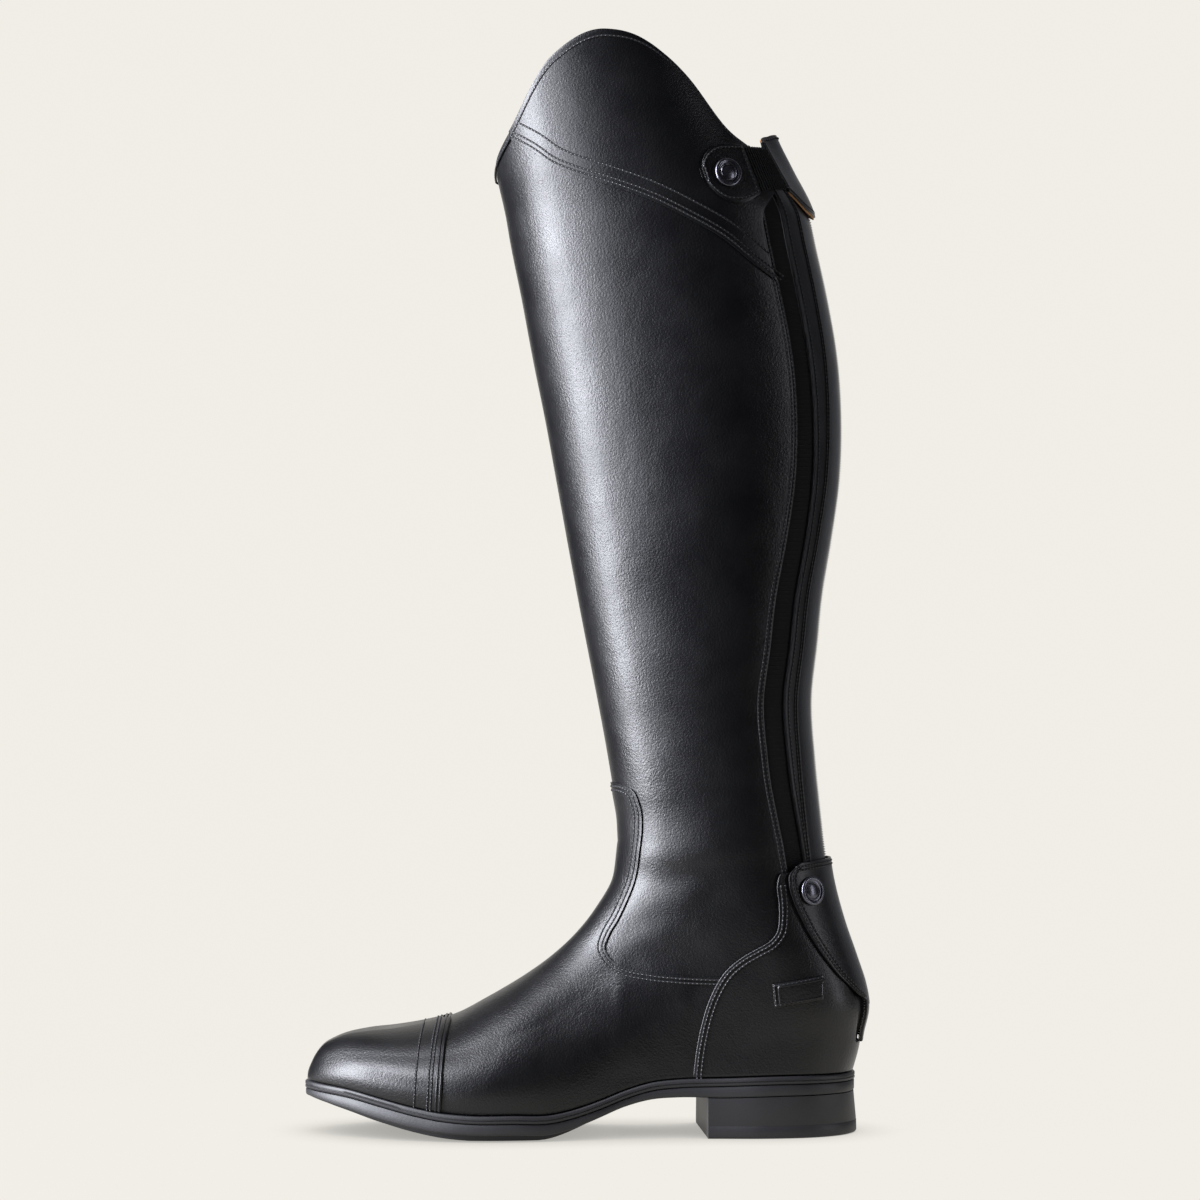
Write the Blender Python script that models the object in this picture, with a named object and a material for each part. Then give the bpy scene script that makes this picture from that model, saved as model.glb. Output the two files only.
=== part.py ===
"""Tall dress riding boot for the left foot: toe toward -X, outer side toward -Y, standing on its sole."""

import math

import bmesh
import bpy
import numpy as np

# Overall sizes, in metres
UPPER_LENGTH = 0.2584
BALL_WIDTH = 0.0890
SEAT_HEIGHT = 0.0290
FORE_THICKNESS = 0.0124
TOE_SPRING = 0.0121
THROAT_HEIGHT = 0.1393
COLLAR_HEIGHT = 0.4585
PEAK_HEIGHT = 0.5215
ANKLE_DEPTH = 0.0970
ANKLE_WIDTH = 0.0730
ANKLE_FORWARD = 0.0615
CALF_DEPTH = 0.1460
CALF_WIDTH = 0.1020
HEEL_LENGTH = 0.0746

# Material and edge sizes
WALL = 0.0022
CLEARANCE = 0.0003
OVERLAY_GAP = 0.0006
CAP_GAP = 0.0009
WELT_MARGIN = 0.0026
WELT_THICKNESS = 0.0036
EDGE_THICKNESS = 0.0090
HEEL_FLARE = 0.0015
BREAST_SKEW = 0.0040
INSOLE_MARGIN = 0.0038
INSOLE_THICKNESS = 0.0025
TREAD_INSET = 0.0055
OVERLAY = 0.0009
LEATHER = 0.0010
STRIP_THICKNESS = 0.0018
RIB_HEIGHT = 0.0022
GROOVE_WIDTH = 0.0022
GROOVE_DEPTH = 0.0010
LIFT_THICKNESS = 0.0060

# Back opening and strap sizes, measured round the surface
CHAIN_HALF = 0.0030
ZIP_HALF = 0.0080
PLACKET_EDGE = 0.0228
STRIP_EDGE = 0.0372
GUSSET_WIDTH = 0.0105
GUARD_HEIGHT = 0.0700
GUARD_HALF = 0.0340
GUARD_FOOT = 0.0610
STRAP_WIDTH = 0.0285
STRAP_DROP = 0.0185
WRAP_END = 0.0190
WRAP_INNER = 0.0520
WRAP_LIFT_LOW = 0.0014
WRAP_LIFT_HIGH = 0.0062
TAB_START = 0.0435
TAB_LENGTH = 0.0260
BUTTON_RADIUS = 0.0068
REST_FOOT = 0.0640
REST_HEIGHT = 0.0120
REST_START = 0.0375
REST_LENGTH = 0.0230

BACK = HEEL_LENGTH / 2 - WELT_MARGIN - HEEL_FLARE
TOE = BACK - UPPER_LENGTH
CAP_EDGE = BACK - 0.737 * UPPER_LENGTH
ANKLE = BACK - ANKLE_FORWARD
RISE = COLLAR_HEIGHT - THROAT_HEIGHT
BAND_HEIGHT = THROAT_HEIGHT + 0.93 * RISE
EGG = 0.06
RIDGE_LEAST = 0.002
STEP = 0.004

# Plan of the feather line: share of length from the heel, outer and inner shares of half the ball width
PLAN = [
    (0.00, 0.00, 0.00),
    (0.03, 0.40, 0.40),
    (0.08, 0.58, 0.57),
    (0.16, 0.67, 0.65),
    (0.28, 0.67, 0.60),
    (0.40, 0.73, 0.49),
    (0.50, 0.86, 0.56),
    (0.60, 0.99, 0.78),
    (0.66, 1.02, 0.92),
    (0.72, 1.00, 0.98),
    (0.80, 0.88, 0.93),
    (0.88, 0.68, 0.77),
    (0.94, 0.46, 0.54),
    (0.98, 0.25, 0.30),
    (1.00, 0.00, 0.00),
]
# Feather line height: share of length, share of the seat's rise over the forepart, share of the toe spring
FEATHER = [
    (0.00, 1.00, 0.00),
    (0.14, 1.01, 0.00),
    (0.24, 0.96, 0.00),
    (0.32, 0.93, 0.00),
    (0.365, 0.86, 0.00),
    (0.414, 0.65, 0.00),
    (0.463, 0.36, 0.00),
    (0.525, 0.07, 0.00),
    (0.55, 0.00, 0.00),
    (0.62, 0.00, 0.00),
    (0.70, 0.00, 0.00),
    (0.76, 0.00, 0.11),
    (0.81, 0.00, 0.30),
    (0.862, 0.00, 0.55),
    (0.922, 0.00, 0.83),
    (1.00, 0.00, 1.00),
]
# Edge and tread: share of length, share of the edge thickness, share of the tread depth
EDGE = [
    (0.00, 1.00, 0.00),
    (0.25, 1.00, 0.00),
    (0.34, 0.90, 0.00),
    (0.44, 0.80, 0.00),
    (0.50, 0.90, 0.10),
    (0.53, 0.97, 0.70),
    (0.55, 1.00, 1.00),
    (0.62, 1.00, 1.00),
    (0.70, 1.00, 1.00),
    (0.76, 1.04, 0.90),
    (0.84, 1.10, 0.70),
    (0.90, 1.10, 0.55),
    (0.96, 0.95, 0.45),
    (1.00, 0.78, 0.40),
]
# Ridge from the toe tip to the throat: share of the foot rows, share of the way back, share of the rise
RIDGE = [
    (0.000, 0.002, 0.000),
    (0.030, 0.004, 0.032),
    (0.055, 0.014, 0.066),
    (0.080, 0.030, 0.106),
    (0.100, 0.049, 0.136),
    (0.130, 0.081, 0.161),
    (0.160, 0.119, 0.181),
    (0.200, 0.190, 0.201),
    (0.250, 0.276, 0.213),
    (0.310, 0.372, 0.232),
    (0.380, 0.470, 0.266),
    (0.460, 0.574, 0.336),
    (0.550, 0.689, 0.425),
    (0.640, 0.783, 0.512),
    (0.730, 0.861, 0.606),
    (0.820, 0.925, 0.711),
    (0.910, 0.976, 0.832),
    (1.000, 1.000, 1.000),
]
# Heel and ankle: share of the height from seat to throat, share of the way in to the ankle's back,
# share of the ankle's half width, share of the ankle's depth that the back's round takes
HEEL_FORM = [
    (0.000, 0.00, 0.79, 0.39),
    (0.109, -0.25, 0.87, 0.40),
    (0.163, -0.32, 0.89, 0.40),
    (0.281, -0.52, 0.90, 0.41),
    (0.372, -0.40, 0.90, 0.42),
    (0.481, -0.10, 0.90, 0.43),
    (0.653, 0.40, 0.93, 0.46),
    (0.825, 0.78, 0.96, 0.48),
    (1.000, 1.00, 1.00, 0.50),
]
# Leg above the throat: share of the rise to the collar, lean forward as a share of the rise,
# share of the step in depth from ankle to calf, the same for width
LEG_FORM = [
    (0.000, 0.000, 0.000, 0.00),
    (0.059, 0.007, 0.008, 0.03),
    (0.121, 0.015, 0.033, 0.08),
    (0.211, 0.026, 0.104, 0.17),
    (0.300, 0.030, 0.278, 0.30),
    (0.361, 0.033, 0.392, 0.40),
    (0.451, 0.034, 0.596, 0.58),
    (0.541, 0.036, 0.782, 0.74),
    (0.632, 0.043, 0.908, 0.87),
    (0.722, 0.055, 0.990, 0.96),
    (0.812, 0.071, 1.000, 1.02),
    (0.902, 0.090, 0.988, 1.08),
    (0.933, 0.096, 0.978, 1.09),
    (1.000, 0.124, 0.806, 1.13),
    (1.036, 0.139, 0.698, 1.14),
    (1.130, 0.171, 0.510, 1.18),
    (1.197, 0.192, 0.406, 1.20),
]
# Section over the forepart: share of length, power of the round between feather line and ridge
SECTION = [(0.30, 1.5), (0.50, 1.6), (0.60, 1.9), (0.70, 2.2), (0.80, 2.5), (0.90, 2.6), (1.00, 2.3)]
# Top edge: share of the half turn from back to front, outer and inner shares of the peak's rise over the collar
TOP_EDGE = [
    (0.00, 0.18, 0.18),
    (0.19, 0.18, 0.13),
    (0.235, 0.30, 0.11),
    (0.284, 0.63, 0.10),
    (0.349, 0.87, 0.08),
    (0.467, 1.00, 0.05),
    (0.622, 0.82, 0.03),
    (0.806, 0.31, 0.01),
    (1.00, 0.00, 0.00),
]
# Back opening: share of the way from seat to collar, share of the strip's edge, share of the gusset's width
OPENING = [
    (0.035, 0.28, 0.00),
    (0.060, 0.37, 0.00),
    (0.095, 0.52, 0.00),
    (0.142, 0.64, 0.00),
    (0.165, 0.68, 0.08),
    (0.223, 0.72, 0.88),
    (0.256, 0.76, 0.90),
    (0.320, 0.83, 0.96),
    (0.400, 0.87, 0.98),
    (0.500, 0.87, 1.00),
    (0.600, 0.88, 0.98),
    (0.700, 0.93, 0.90),
    (0.800, 0.98, 0.86),
    (0.865, 1.00, 0.90),
    (1.030, 0.98, 0.97),
]
# Heel counter's front edge: share of the height from seat to throat, share of the upper's length from the back
COUNTER_EDGE = [
    (0.00, 0.292),
    (0.16, 0.284),
    (0.31, 0.268),
    (0.43, 0.241),
    (0.52, 0.203),
    (0.575, 0.159),
    (0.62, 0.140),
    (0.74, 0.137),
    (0.83, 0.141),
    (0.90, 0.131),
]
# Heel guard's outline: share of its height, share of its half width
GUARD_EDGE = [
    (0.00, 0.10),
    (0.06, 0.36),
    (0.18, 0.63),
    (0.34, 0.80),
    (0.48, 0.89),
    (0.64, 0.96),
    (0.78, 1.00),
    (0.88, 0.98),
    (0.95, 0.86),
    (1.00, 0.66),
]
# Strap's edges: share of the way from the back to the tab's end, share of the strap's width from its foot
# to the low edge and to the high edge
STRAP_EDGE = [
    (0.00, -0.11, 1.27),
    (0.17, 0.00, 1.25),
    (0.27, 0.25, 1.09),
    (0.40, 0.28, 1.03),
    (0.60, 0.20, 1.00),
    (0.75, 0.03, 1.00),
    (0.88, 0.00, 0.97),
    (0.95, 0.13, 0.86),
    (1.00, 0.33, 0.66),
]
# Snap button's dome: share of its radius outward, share of its radius upward
BUTTON_OUTLINE = [(1.0, 0.0), (1.0, 0.13), (0.9, 0.23), (0.72, 0.25), (0.62, 0.19), (0.5, 0.28), (0.25, 0.34)]
# Rows of the upper's grid over the foot, and how many follow up the leg and over the top band
FOOT_ROWS = [0, 0.02, 0.045, 0.07, 0.10, 0.13, 0.152, 0.185, 0.22, 0.26, 0.31, 0.38, 0.46, 0.54]
FOOT_ROWS += [0.63, 0.72, 0.81, 0.905]
LEG_ROWS = 10
BAND_ROWS = 5
SLOT_ROW = 6
BACK_COLUMNS = 8
SIDE_COLUMNS = 17


# Curves through the tables
def smooth(at, table, column):
    values = np.array(table, dtype=float)
    known, wanted = values[:, 0], values[:, column]
    slope = np.gradient(wanted, known)
    at = np.clip(at, known[0], known[-1])
    i = np.clip(np.searchsorted(known, at, side="right") - 1, 0, len(known) - 2)
    span = known[i + 1] - known[i]
    t = (at - known[i]) / span
    rise = (2 * t**3 - 3 * t**2 + 1) * wanted[i] + (3 * t**2 - 2 * t**3) * wanted[i + 1]
    return rise + span * ((t**3 - 2 * t**2 + t) * slope[i] + (t**3 - t**2) * slope[i + 1])


def ease(at):
    at = np.clip(at, 0.0, 1.0)
    return at * at * (3 - 2 * at)


def length_share(x):
    return np.clip((BACK - x) / UPPER_LENGTH, 0.0, 1.0)


# Heights and widths of the last
def plan_half(x, side):
    turned = [(math.acos(1 - 2 * s), a, b) for s, a, b in PLAN]
    at = np.arccos(1 - 2 * length_share(x))
    return smooth(at, turned, side) * BALL_WIDTH / 2


def feather_z(x):
    s = length_share(x)
    shank = smooth(s, FEATHER, 1) * (SEAT_HEIGHT - FORE_THICKNESS)
    return FORE_THICKNESS + shank + smooth(s, FEATHER, 2) * TOE_SPRING


def edge_z(x):
    return feather_z(x) - smooth(length_share(x), EDGE, 1) * EDGE_THICKNESS


def tread_z(x):
    return edge_z(x) - smooth(length_share(x), EDGE, 2) * (FORE_THICKNESS - EDGE_THICKNESS)


def welt_z(x):
    return feather_z(x) - WELT_THICKNESS


TIP_Z = float(feather_z(TOE)) + CLEARANCE
ANKLE_FRONT = ANKLE - ANKLE_DEPTH / 2
RIDGE_ROWS = np.linspace(0, 1, 401)
RIDGE_X = TOE + smooth(RIDGE_ROWS, RIDGE, 1) * (ANKLE_FRONT - TOE)
RIDGE_Z = TIP_Z + smooth(RIDGE_ROWS, RIDGE, 2) * (THROAT_HEIGHT - TIP_Z)


def heel_share(z):
    return (z - SEAT_HEIGHT) / (THROAT_HEIGHT - SEAT_HEIGHT)


def leg_share(z):
    return (z - THROAT_HEIGHT) / RISE


def leg_depth(z):
    return ANKLE_DEPTH + smooth(leg_share(z), LEG_FORM, 2) * (CALF_DEPTH - ANKLE_DEPTH)


def leg_middle(z):
    return ANKLE - smooth(leg_share(z), LEG_FORM, 1) * RISE


def back_x(z):
    ankle_back = ANKLE + ANKLE_DEPTH / 2
    low = BACK + smooth(heel_share(z), HEEL_FORM, 1) * (ankle_back - BACK)
    return np.where(z < THROAT_HEIGHT, low, leg_middle(z) + leg_depth(z) / 2)


def front_x(z):
    low = np.interp(z, RIDGE_Z, RIDGE_X)
    return np.where(z < THROAT_HEIGHT, low, leg_middle(z) - leg_depth(z) / 2)


def leg_half(z):
    low = smooth(heel_share(z), HEEL_FORM, 2) * ANKLE_WIDTH / 2
    high = ANKLE_WIDTH / 2 + smooth(leg_share(z), LEG_FORM, 3) * (CALF_WIDTH - ANKLE_WIDTH) / 2
    return np.where(z < THROAT_HEIGHT, low, high)


def leg_width(x, z):
    back, front = back_x(z), front_x(z)
    low = smooth(heel_share(z), HEEL_FORM, 3) * ANKLE_DEPTH
    round_back = np.where(z < THROAT_HEIGHT, low, leg_depth(z) / 2)
    round_front = back - front - round_back
    behind = np.clip(1 - (back - x) / round_back, 0, 1)
    ahead = np.clip(1 - (x - front) / round_front, 0, 1)
    curve = np.sqrt(1 - behind**2) * np.sqrt(1 - ahead**2)
    return leg_half(z) * curve * (1 + EGG * (behind - ahead))


def rear_width(x, z, side):
    shifted = x - (back_x(z) - back_x(np.full_like(z, SEAT_HEIGHT)))
    up = ease((z - feather_z(x) - 0.010) / 0.050)
    return (1 - up) * plan_half(shifted, side) + up * leg_width(x, z)


def fore_width(x, z, side):
    ridge = np.interp(x, RIDGE_X, RIDGE_Z)
    floor = feather_z(x)
    v = np.clip((z - floor) / (ridge - floor), 0, 1)
    power = smooth(length_share(x), SECTION, 1)
    bulge = 1 + 0.06 * np.sin(np.pi * np.clip(1.6 * v, 0, 1))
    return plan_half(x, side) * bulge * np.sqrt(1 - v**power)


def half_width(x, z, side):
    rear = ease((x - TOE - 0.095) / 0.085 + np.maximum(0, z - 0.070) / 0.060)
    return (1 - rear) * fore_width(x, z, side) + rear * rear_width(x, z, side)


# The upper's surface by row and by turn round the leg: row 0 is the feather line, row 1 the throat,
# row 2 the foot of the top band and row 3 the top edge; turn 0 is the back, pi the front, outer side positive
def top_z(turns):
    wrapped = (turns + np.pi) % (2 * np.pi) - np.pi
    share = np.abs(wrapped) / np.pi
    rise = np.where(wrapped >= 0, smooth(share, TOP_EDGE, 1), smooth(share, TOP_EDGE, 2))
    return COLLAR_HEIGHT + rise * (PEAK_HEIGHT - COLLAR_HEIGHT)


def foot_place(rows, turns):
    f = np.clip(rows, 0, 1)
    z_back = SEAT_HEIGHT + CLEARANCE + f * (THROAT_HEIGHT - SEAT_HEIGHT - CLEARANCE)
    x_back = back_x(z_back)
    x_front, z_front = np.interp(f, RIDGE_ROWS, RIDGE_X), np.interp(f, RIDGE_ROWS, RIDGE_Z)
    share = (1 - np.cos(turns)) / 2
    x = x_back + share * (x_front - x_back)
    straight = SEAT_HEIGHT + CLEARANCE + share * (TIP_Z - SEAT_HEIGHT - CLEARANCE)
    sag = (feather_z(x) + CLEARANCE - straight) * np.clip(1 - f / 0.4, 0, 1) ** 2
    return x, z_back + share * (z_front - z_back) + sag


def leg_place(rows, turns):
    low = THROAT_HEIGHT + np.clip(rows - 1, 0, 1) * (BAND_HEIGHT - THROAT_HEIGHT)
    z = low + np.maximum(rows - 2, 0) * (top_z(turns) - BAND_HEIGHT)
    back, front = back_x(z), front_x(z)
    return back + (front - back) * (1 - np.cos(turns)) / 2, z


def lay(rows, turns):
    rows, turns = np.broadcast_arrays(np.asarray(rows, float), np.asarray(turns, float))
    foot_x, foot_z = foot_place(rows, turns)
    leg_x, leg_z = leg_place(rows, turns)
    x, z = np.where(rows < 1, foot_x, leg_x), np.where(rows < 1, foot_z, leg_z)
    least = RIDGE_LEAST * np.abs(np.sin(turns))
    outer, inner = np.maximum(half_width(x, z, 1), least), np.maximum(half_width(x, z, 2), least)
    y = np.where(np.sin(turns) >= 0, -outer, inner)
    return np.stack([x, y, z], axis=-1)


def surface(rows, turns, proud=0.0):
    rows, turns = np.broadcast_arrays(np.asarray(rows, float), np.asarray(turns, float))
    along = lay(rows + STEP, turns) - lay(np.maximum(rows - STEP, 0), turns)
    across = lay(rows, turns + STEP) - lay(rows, turns - STEP)
    normal = np.cross(along, across)
    normal /= np.linalg.norm(normal, axis=-1, keepdims=True)
    return lay(rows, turns) + normal * np.asarray(proud)[..., None]


# Places on the surface
def row_at(z):
    if z < THROAT_HEIGHT:
        return max(0.0, (z - SEAT_HEIGHT - CLEARANCE) / (THROAT_HEIGHT - SEAT_HEIGHT - CLEARANCE))
    if z < BAND_HEIGHT:
        return 1 + (z - THROAT_HEIGHT) / (BAND_HEIGHT - THROAT_HEIGHT)
    return 2 + (z - BAND_HEIGHT) / (float(top_z(0.0)) - BAND_HEIGHT)


def back_z(row):
    return float(lay(row, 0.0)[2])


def turn_at(row, girth):
    turns = np.linspace(-2.6, 2.6, 261)
    points = lay(np.full_like(turns, row), turns)
    run = np.concatenate([[0], np.cumsum(np.linalg.norm(np.diff(points, axis=0), axis=1))])
    return np.interp(girth, run - run[130], turns)


def level_turn(z, girth):
    """The turn at which a level section of the leg has run this far from the back seam."""
    turns = np.linspace(-2.6, 2.6, 261)
    back, front = back_x(z), front_x(z)
    x = back + (front - back) * (1 - np.cos(turns)) / 2
    y = -np.sign(turns) * leg_width(x, np.full_like(x, z))
    run = np.concatenate([[0], np.cumsum(np.hypot(np.diff(x), np.diff(y)))])
    return float(np.interp(girth, run - run[130], turns))


def turn_of(row, distance):
    """The turn on the outer side whose point lies this far ahead of the back, seen from the side."""
    turns = np.linspace(0, np.pi, 200)
    points = lay(np.full_like(turns, row), turns)
    return float(np.interp(distance, BACK - points[:, 0], turns))


def opening_at(row):
    """Girths of the placket's, strip's and slot's edges at this row."""
    share = (back_z(row) - SEAT_HEIGHT) / (COLLAR_HEIGHT - SEAT_HEIGHT)
    strip = float(smooth(share, OPENING, 1)) * STRIP_EDGE
    slot = strip + CLEARANCE + max(0.0, float(smooth(share, OPENING, 2))) * GUSSET_WIDTH
    return min(PLACKET_EDGE, strip), strip, slot


# Meshes
def material(name, colour, roughness, metallic=0.0):
    made = bpy.data.materials.new(name)
    made.use_nodes = True
    shader = made.node_tree.nodes["Principled BSDF"]
    shader.inputs["Base Color"].default_value = (*colour, 1.0)
    shader.inputs["Roughness"].default_value = roughness
    shader.inputs["Metallic"].default_value = metallic
    return made


def piece(name, points, faces, made_of):
    mesh = bpy.data.meshes.new(name)
    mesh.from_pydata([tuple(map(float, p)) for p in points], [], faces)
    form = bmesh.new()
    form.from_mesh(mesh)
    bmesh.ops.delete(form, geom=[v for v in form.verts if not v.link_faces], context="VERTS")
    bmesh.ops.triangulate(form, faces=form.faces)
    bmesh.ops.recalc_face_normals(form, faces=form.faces)
    form.to_mesh(mesh)
    form.free()
    mesh.shade_smooth()
    mesh.set_sharp_from_angle(angle=math.radians(38))
    mesh.materials.append(made_of)
    item = bpy.data.objects.new(name, mesh)
    bpy.context.collection.objects.link(item)
    return item


def shell(name, outer, inner, made_of, keep=None, closed=False):
    """A sheet between two grids of points, with rims along every open edge."""
    rows, columns = outer.shape[:2]
    spans = columns if closed else columns - 1
    keep = np.ones((rows - 1, spans), bool) if keep is None else keep
    points = np.concatenate([outer.reshape(-1, 3), inner.reshape(-1, 3)])
    under = rows * columns
    faces = []

    def kept(i, j):
        if closed:
            j %= spans
        return 0 <= i < rows - 1 and 0 <= j < spans and keep[i, j]

    for i, j in np.argwhere(keep):
        k = (j + 1) % columns
        a, b = int(i * columns + j), int(i * columns + k)
        c, d = int((i + 1) * columns + k), int((i + 1) * columns + j)
        faces += [(a, b, c, d), (d + under, c + under, b + under, a + under)]
        for u, v, there in ((a, b, (i - 1, j)), (b, c, (i, j + 1)), (c, d, (i + 1, j)), (d, a, (i, j - 1))):
            if not kept(*there):
                faces.append((v, u, u + under, v + under))
    return piece(name, points, faces, made_of)


def patch(name, rows, girths, top, under, made_of, keep=None):
    """A sheet laid on the surface, from the girths of its columns at each row."""
    turns = np.array([turn_at(r, g) for r, g in zip(rows, girths)])
    rows = np.repeat(np.array(rows, float)[:, None], turns.shape[1], axis=1)
    return shell(name, surface(rows, turns, top), surface(rows, turns, under), made_of, keep)


def between(start, end, parts):
    return [start + (end - start) * i / parts for i in range(parts + 1)]


# Sole layers: loops of the feather line pushed outward
def loop(turns, push, height):
    def at(a):
        x = BACK - UPPER_LENGTH * (1 - np.cos(a)) / 2
        y = np.where(np.sin(a) >= 0, -plan_half(x, 1), plan_half(x, 2))
        return np.stack([x, y], axis=-1)

    along = at(turns + STEP) - at(turns - STEP)
    along /= np.linalg.norm(along, axis=-1, keepdims=True)
    flat = at(turns) + push * np.stack([-along[:, 1], along[:, 0]], axis=-1)
    z = height(flat[:, 0]) if callable(height) else np.full(len(flat), height)
    return np.column_stack([flat, z])


def stack(name, turns, levels, made_of, ladder=True):
    """A closed layer from its lowest loop to its highest."""
    rings = [loop(turns, push, height) for push, height in levels]
    n = len(turns)
    faces = []
    for i in range(len(rings) - 1):
        for j in range(n):
            k = (j + 1) % n
            faces.append((i * n + j, i * n + k, (i + 1) * n + k, (i + 1) * n + j))
    for base in (0, (len(rings) - 1) * n):
        if not ladder:
            faces.append(tuple(base + j for j in range(n)))
            continue
        for j in range(n // 2):
            rung = [base + j, base + j + 1, base + (n - j - 1) % n, base + (n - j) % n]
            faces.append(tuple(dict.fromkeys(rung)))
    return piece(name, np.concatenate(rings), faces, made_of)


def box(points, faces, centre, size, tilt):
    start = len(points)
    for sx in (-0.5, 0.5):
        for sy in (-0.5, 0.5):
            for sz in (-0.5, 0.5):
                x, z = sx * size[0], sz * size[2]
                turned_x = x * math.cos(tilt) - z * math.sin(tilt)
                turned_z = x * math.sin(tilt) + z * math.cos(tilt)
                points.append((centre[0] + turned_x, centre[1] + sy * size[1], centre[2] + turned_z))
    for q in ((0, 1, 3, 2), (4, 6, 7, 5), (0, 4, 5, 1), (2, 3, 7, 6), (0, 2, 6, 4), (1, 5, 7, 3)):
        faces.append(tuple(start + i for i in q))


def groove(target, name, places, made_of):
    """Cuts tread grooves with a set of bars given as centre, size and tilt."""
    points, faces = [], []
    for centre, size, tilt in places:
        box(points, faces, centre, size, tilt)
    cutter = piece(name, points, faces, made_of)
    cutter.hide_render = True
    cutter.display_type = "WIRE"
    cut = target.modifiers.new("tread", "BOOLEAN")
    cut.operation = "DIFFERENCE"
    cut.solver = "EXACT"
    cut.object = cutter


def button(name, row, turn, stand, made_of):
    """A domed snap cap with rings, its axis square to the surface."""
    base = surface(row, turn, stand)
    axis = surface(row, turn, stand + 0.001) - base
    axis /= np.linalg.norm(axis)
    side = np.cross(axis, (0, 0, 1))
    side /= np.linalg.norm(side)
    up = np.cross(side, axis)
    sides = 16
    points = [
        base + BUTTON_RADIUS * (axis * h + r * (side * math.cos(t) + up * math.sin(t)))
        for r, h in BUTTON_OUTLINE
        for t in np.arange(sides) * 2 * math.pi / sides
    ]
    faces = []
    for i in range(len(BUTTON_OUTLINE) - 1):
        for j in range(sides):
            k = (j + 1) % sides
            faces.append((i * sides + j, i * sides + k, (i + 1) * sides + k, (i + 1) * sides + j))
    faces.append(tuple(range(sides)))
    faces.append(tuple((len(BUTTON_OUTLINE) - 1) * sides + j for j in range(sides)))
    return piece(name, points, faces, made_of)


# The pieces
def upper_rows():
    return FOOT_ROWS + between(1.0, 2.0, LEG_ROWS) + between(2.0, 3.0, BAND_ROWS)[1:]


def upper_turns(row):
    placket, _, slot = opening_at(max(row, FOOT_ROWS[SLOT_ROW]))
    out = float(turn_at(row, slot + CLEARANCE))
    inn = float(turn_at(row, -placket - 2 * CLEARANCE))
    outside = between(out, math.pi, SIDE_COLUMNS)[1:]
    inside = between(math.pi, inn + 2 * math.pi, SIDE_COLUMNS)[1:-1]
    return between(inn, out, BACK_COLUMNS) + outside + inside


def build_upper(leather):
    rows = upper_rows()
    turns = np.array([upper_turns(row) for row in rows])
    rows_grid = np.repeat(np.array(rows)[:, None], turns.shape[1], axis=1)
    outer, inner = surface(rows_grid, turns), surface(rows_grid, turns, -WALL)
    inner[0, :, 2], inner[-1, :, 2] = outer[0, :, 2], outer[-1, :, 2]
    keep = np.ones((len(rows) - 1, turns.shape[1]), bool)
    keep[SLOT_ROW:, :BACK_COLUMNS] = False
    shell("upper", outer, inner, leather, keep, closed=True)


def build_toe_cap(leather):
    rows = [0.006, 0.03, 0.06, 0.09, 0.12, 0.15, 0.185, 0.22, 0.26, 0.31, 0.36]
    grid = []
    for row in rows:
        span = lay(row, np.array([0.0, math.pi]))[:, 0]
        cap = math.acos(1 - 2 * (span[0] - CAP_EDGE) / (span[0] - span[1]))
        grid.append(between(cap, 2 * math.pi - cap, 18))
    turns = np.array(grid)
    rows = np.repeat(np.array(rows)[:, None], turns.shape[1], axis=1)
    shell("toe_cap", surface(rows, turns, CAP_GAP + OVERLAY), surface(rows, turns, CAP_GAP), leather)


def guard_half(z):
    return float(smooth((z - GUARD_FOOT) / GUARD_HEIGHT, GUARD_EDGE, 1)) * GUARD_HALF


def build_counter(leather):
    low = row_at(SEAT_HEIGHT + 0.0012)
    rows = [low, 0.045, 0.07, 0.10, 0.133, 0.185, 0.22, 0.26, 0.31, 0.38, 0.46, 0.51]
    rows += [0.545, 0.57, 0.60, 0.66, 0.72, 0.81, 0.885]
    shut = 4
    girths = []
    for row in rows:
        gap = opening_at(max(row, rows[shut]))[1] + 2 * CLEARANCE
        edge = float(smooth(heel_share(back_z(row)), COUNTER_EDGE, 1))
        front = turn_of(row, edge * UPPER_LENGTH)
        reach = np.linalg.norm(np.diff(lay(row, np.linspace(0, front, 80)), axis=0), axis=1).sum()
        reach = max(reach, gap + 0.002)
        girths.append(between(-reach, -gap, 7) + between(-gap, gap, 8)[1:-1] + between(gap, reach, 7))
    keep = np.ones((len(rows) - 1, 22), bool)
    keep[shut:, 7:15] = False
    patch("heel_counter", rows, girths, OVERLAY_GAP + OVERLAY, OVERLAY_GAP, leather, keep)


def build_spur_rest(leather):
    rows = between(row_at(REST_FOOT), row_at(REST_FOOT + REST_HEIGHT), 4)
    starts = [REST_START + 0.0005 * i for i in range(5)]
    girths = [between(start, start + REST_LENGTH, 5) for start in starts]
    base = OVERLAY_GAP + OVERLAY + CLEARANCE
    top = np.full((5, 6), base + LEATHER)
    top[1:4, 1:5] += RIB_HEIGHT
    patch("spur_rest", rows, girths, top, base, leather)


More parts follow.
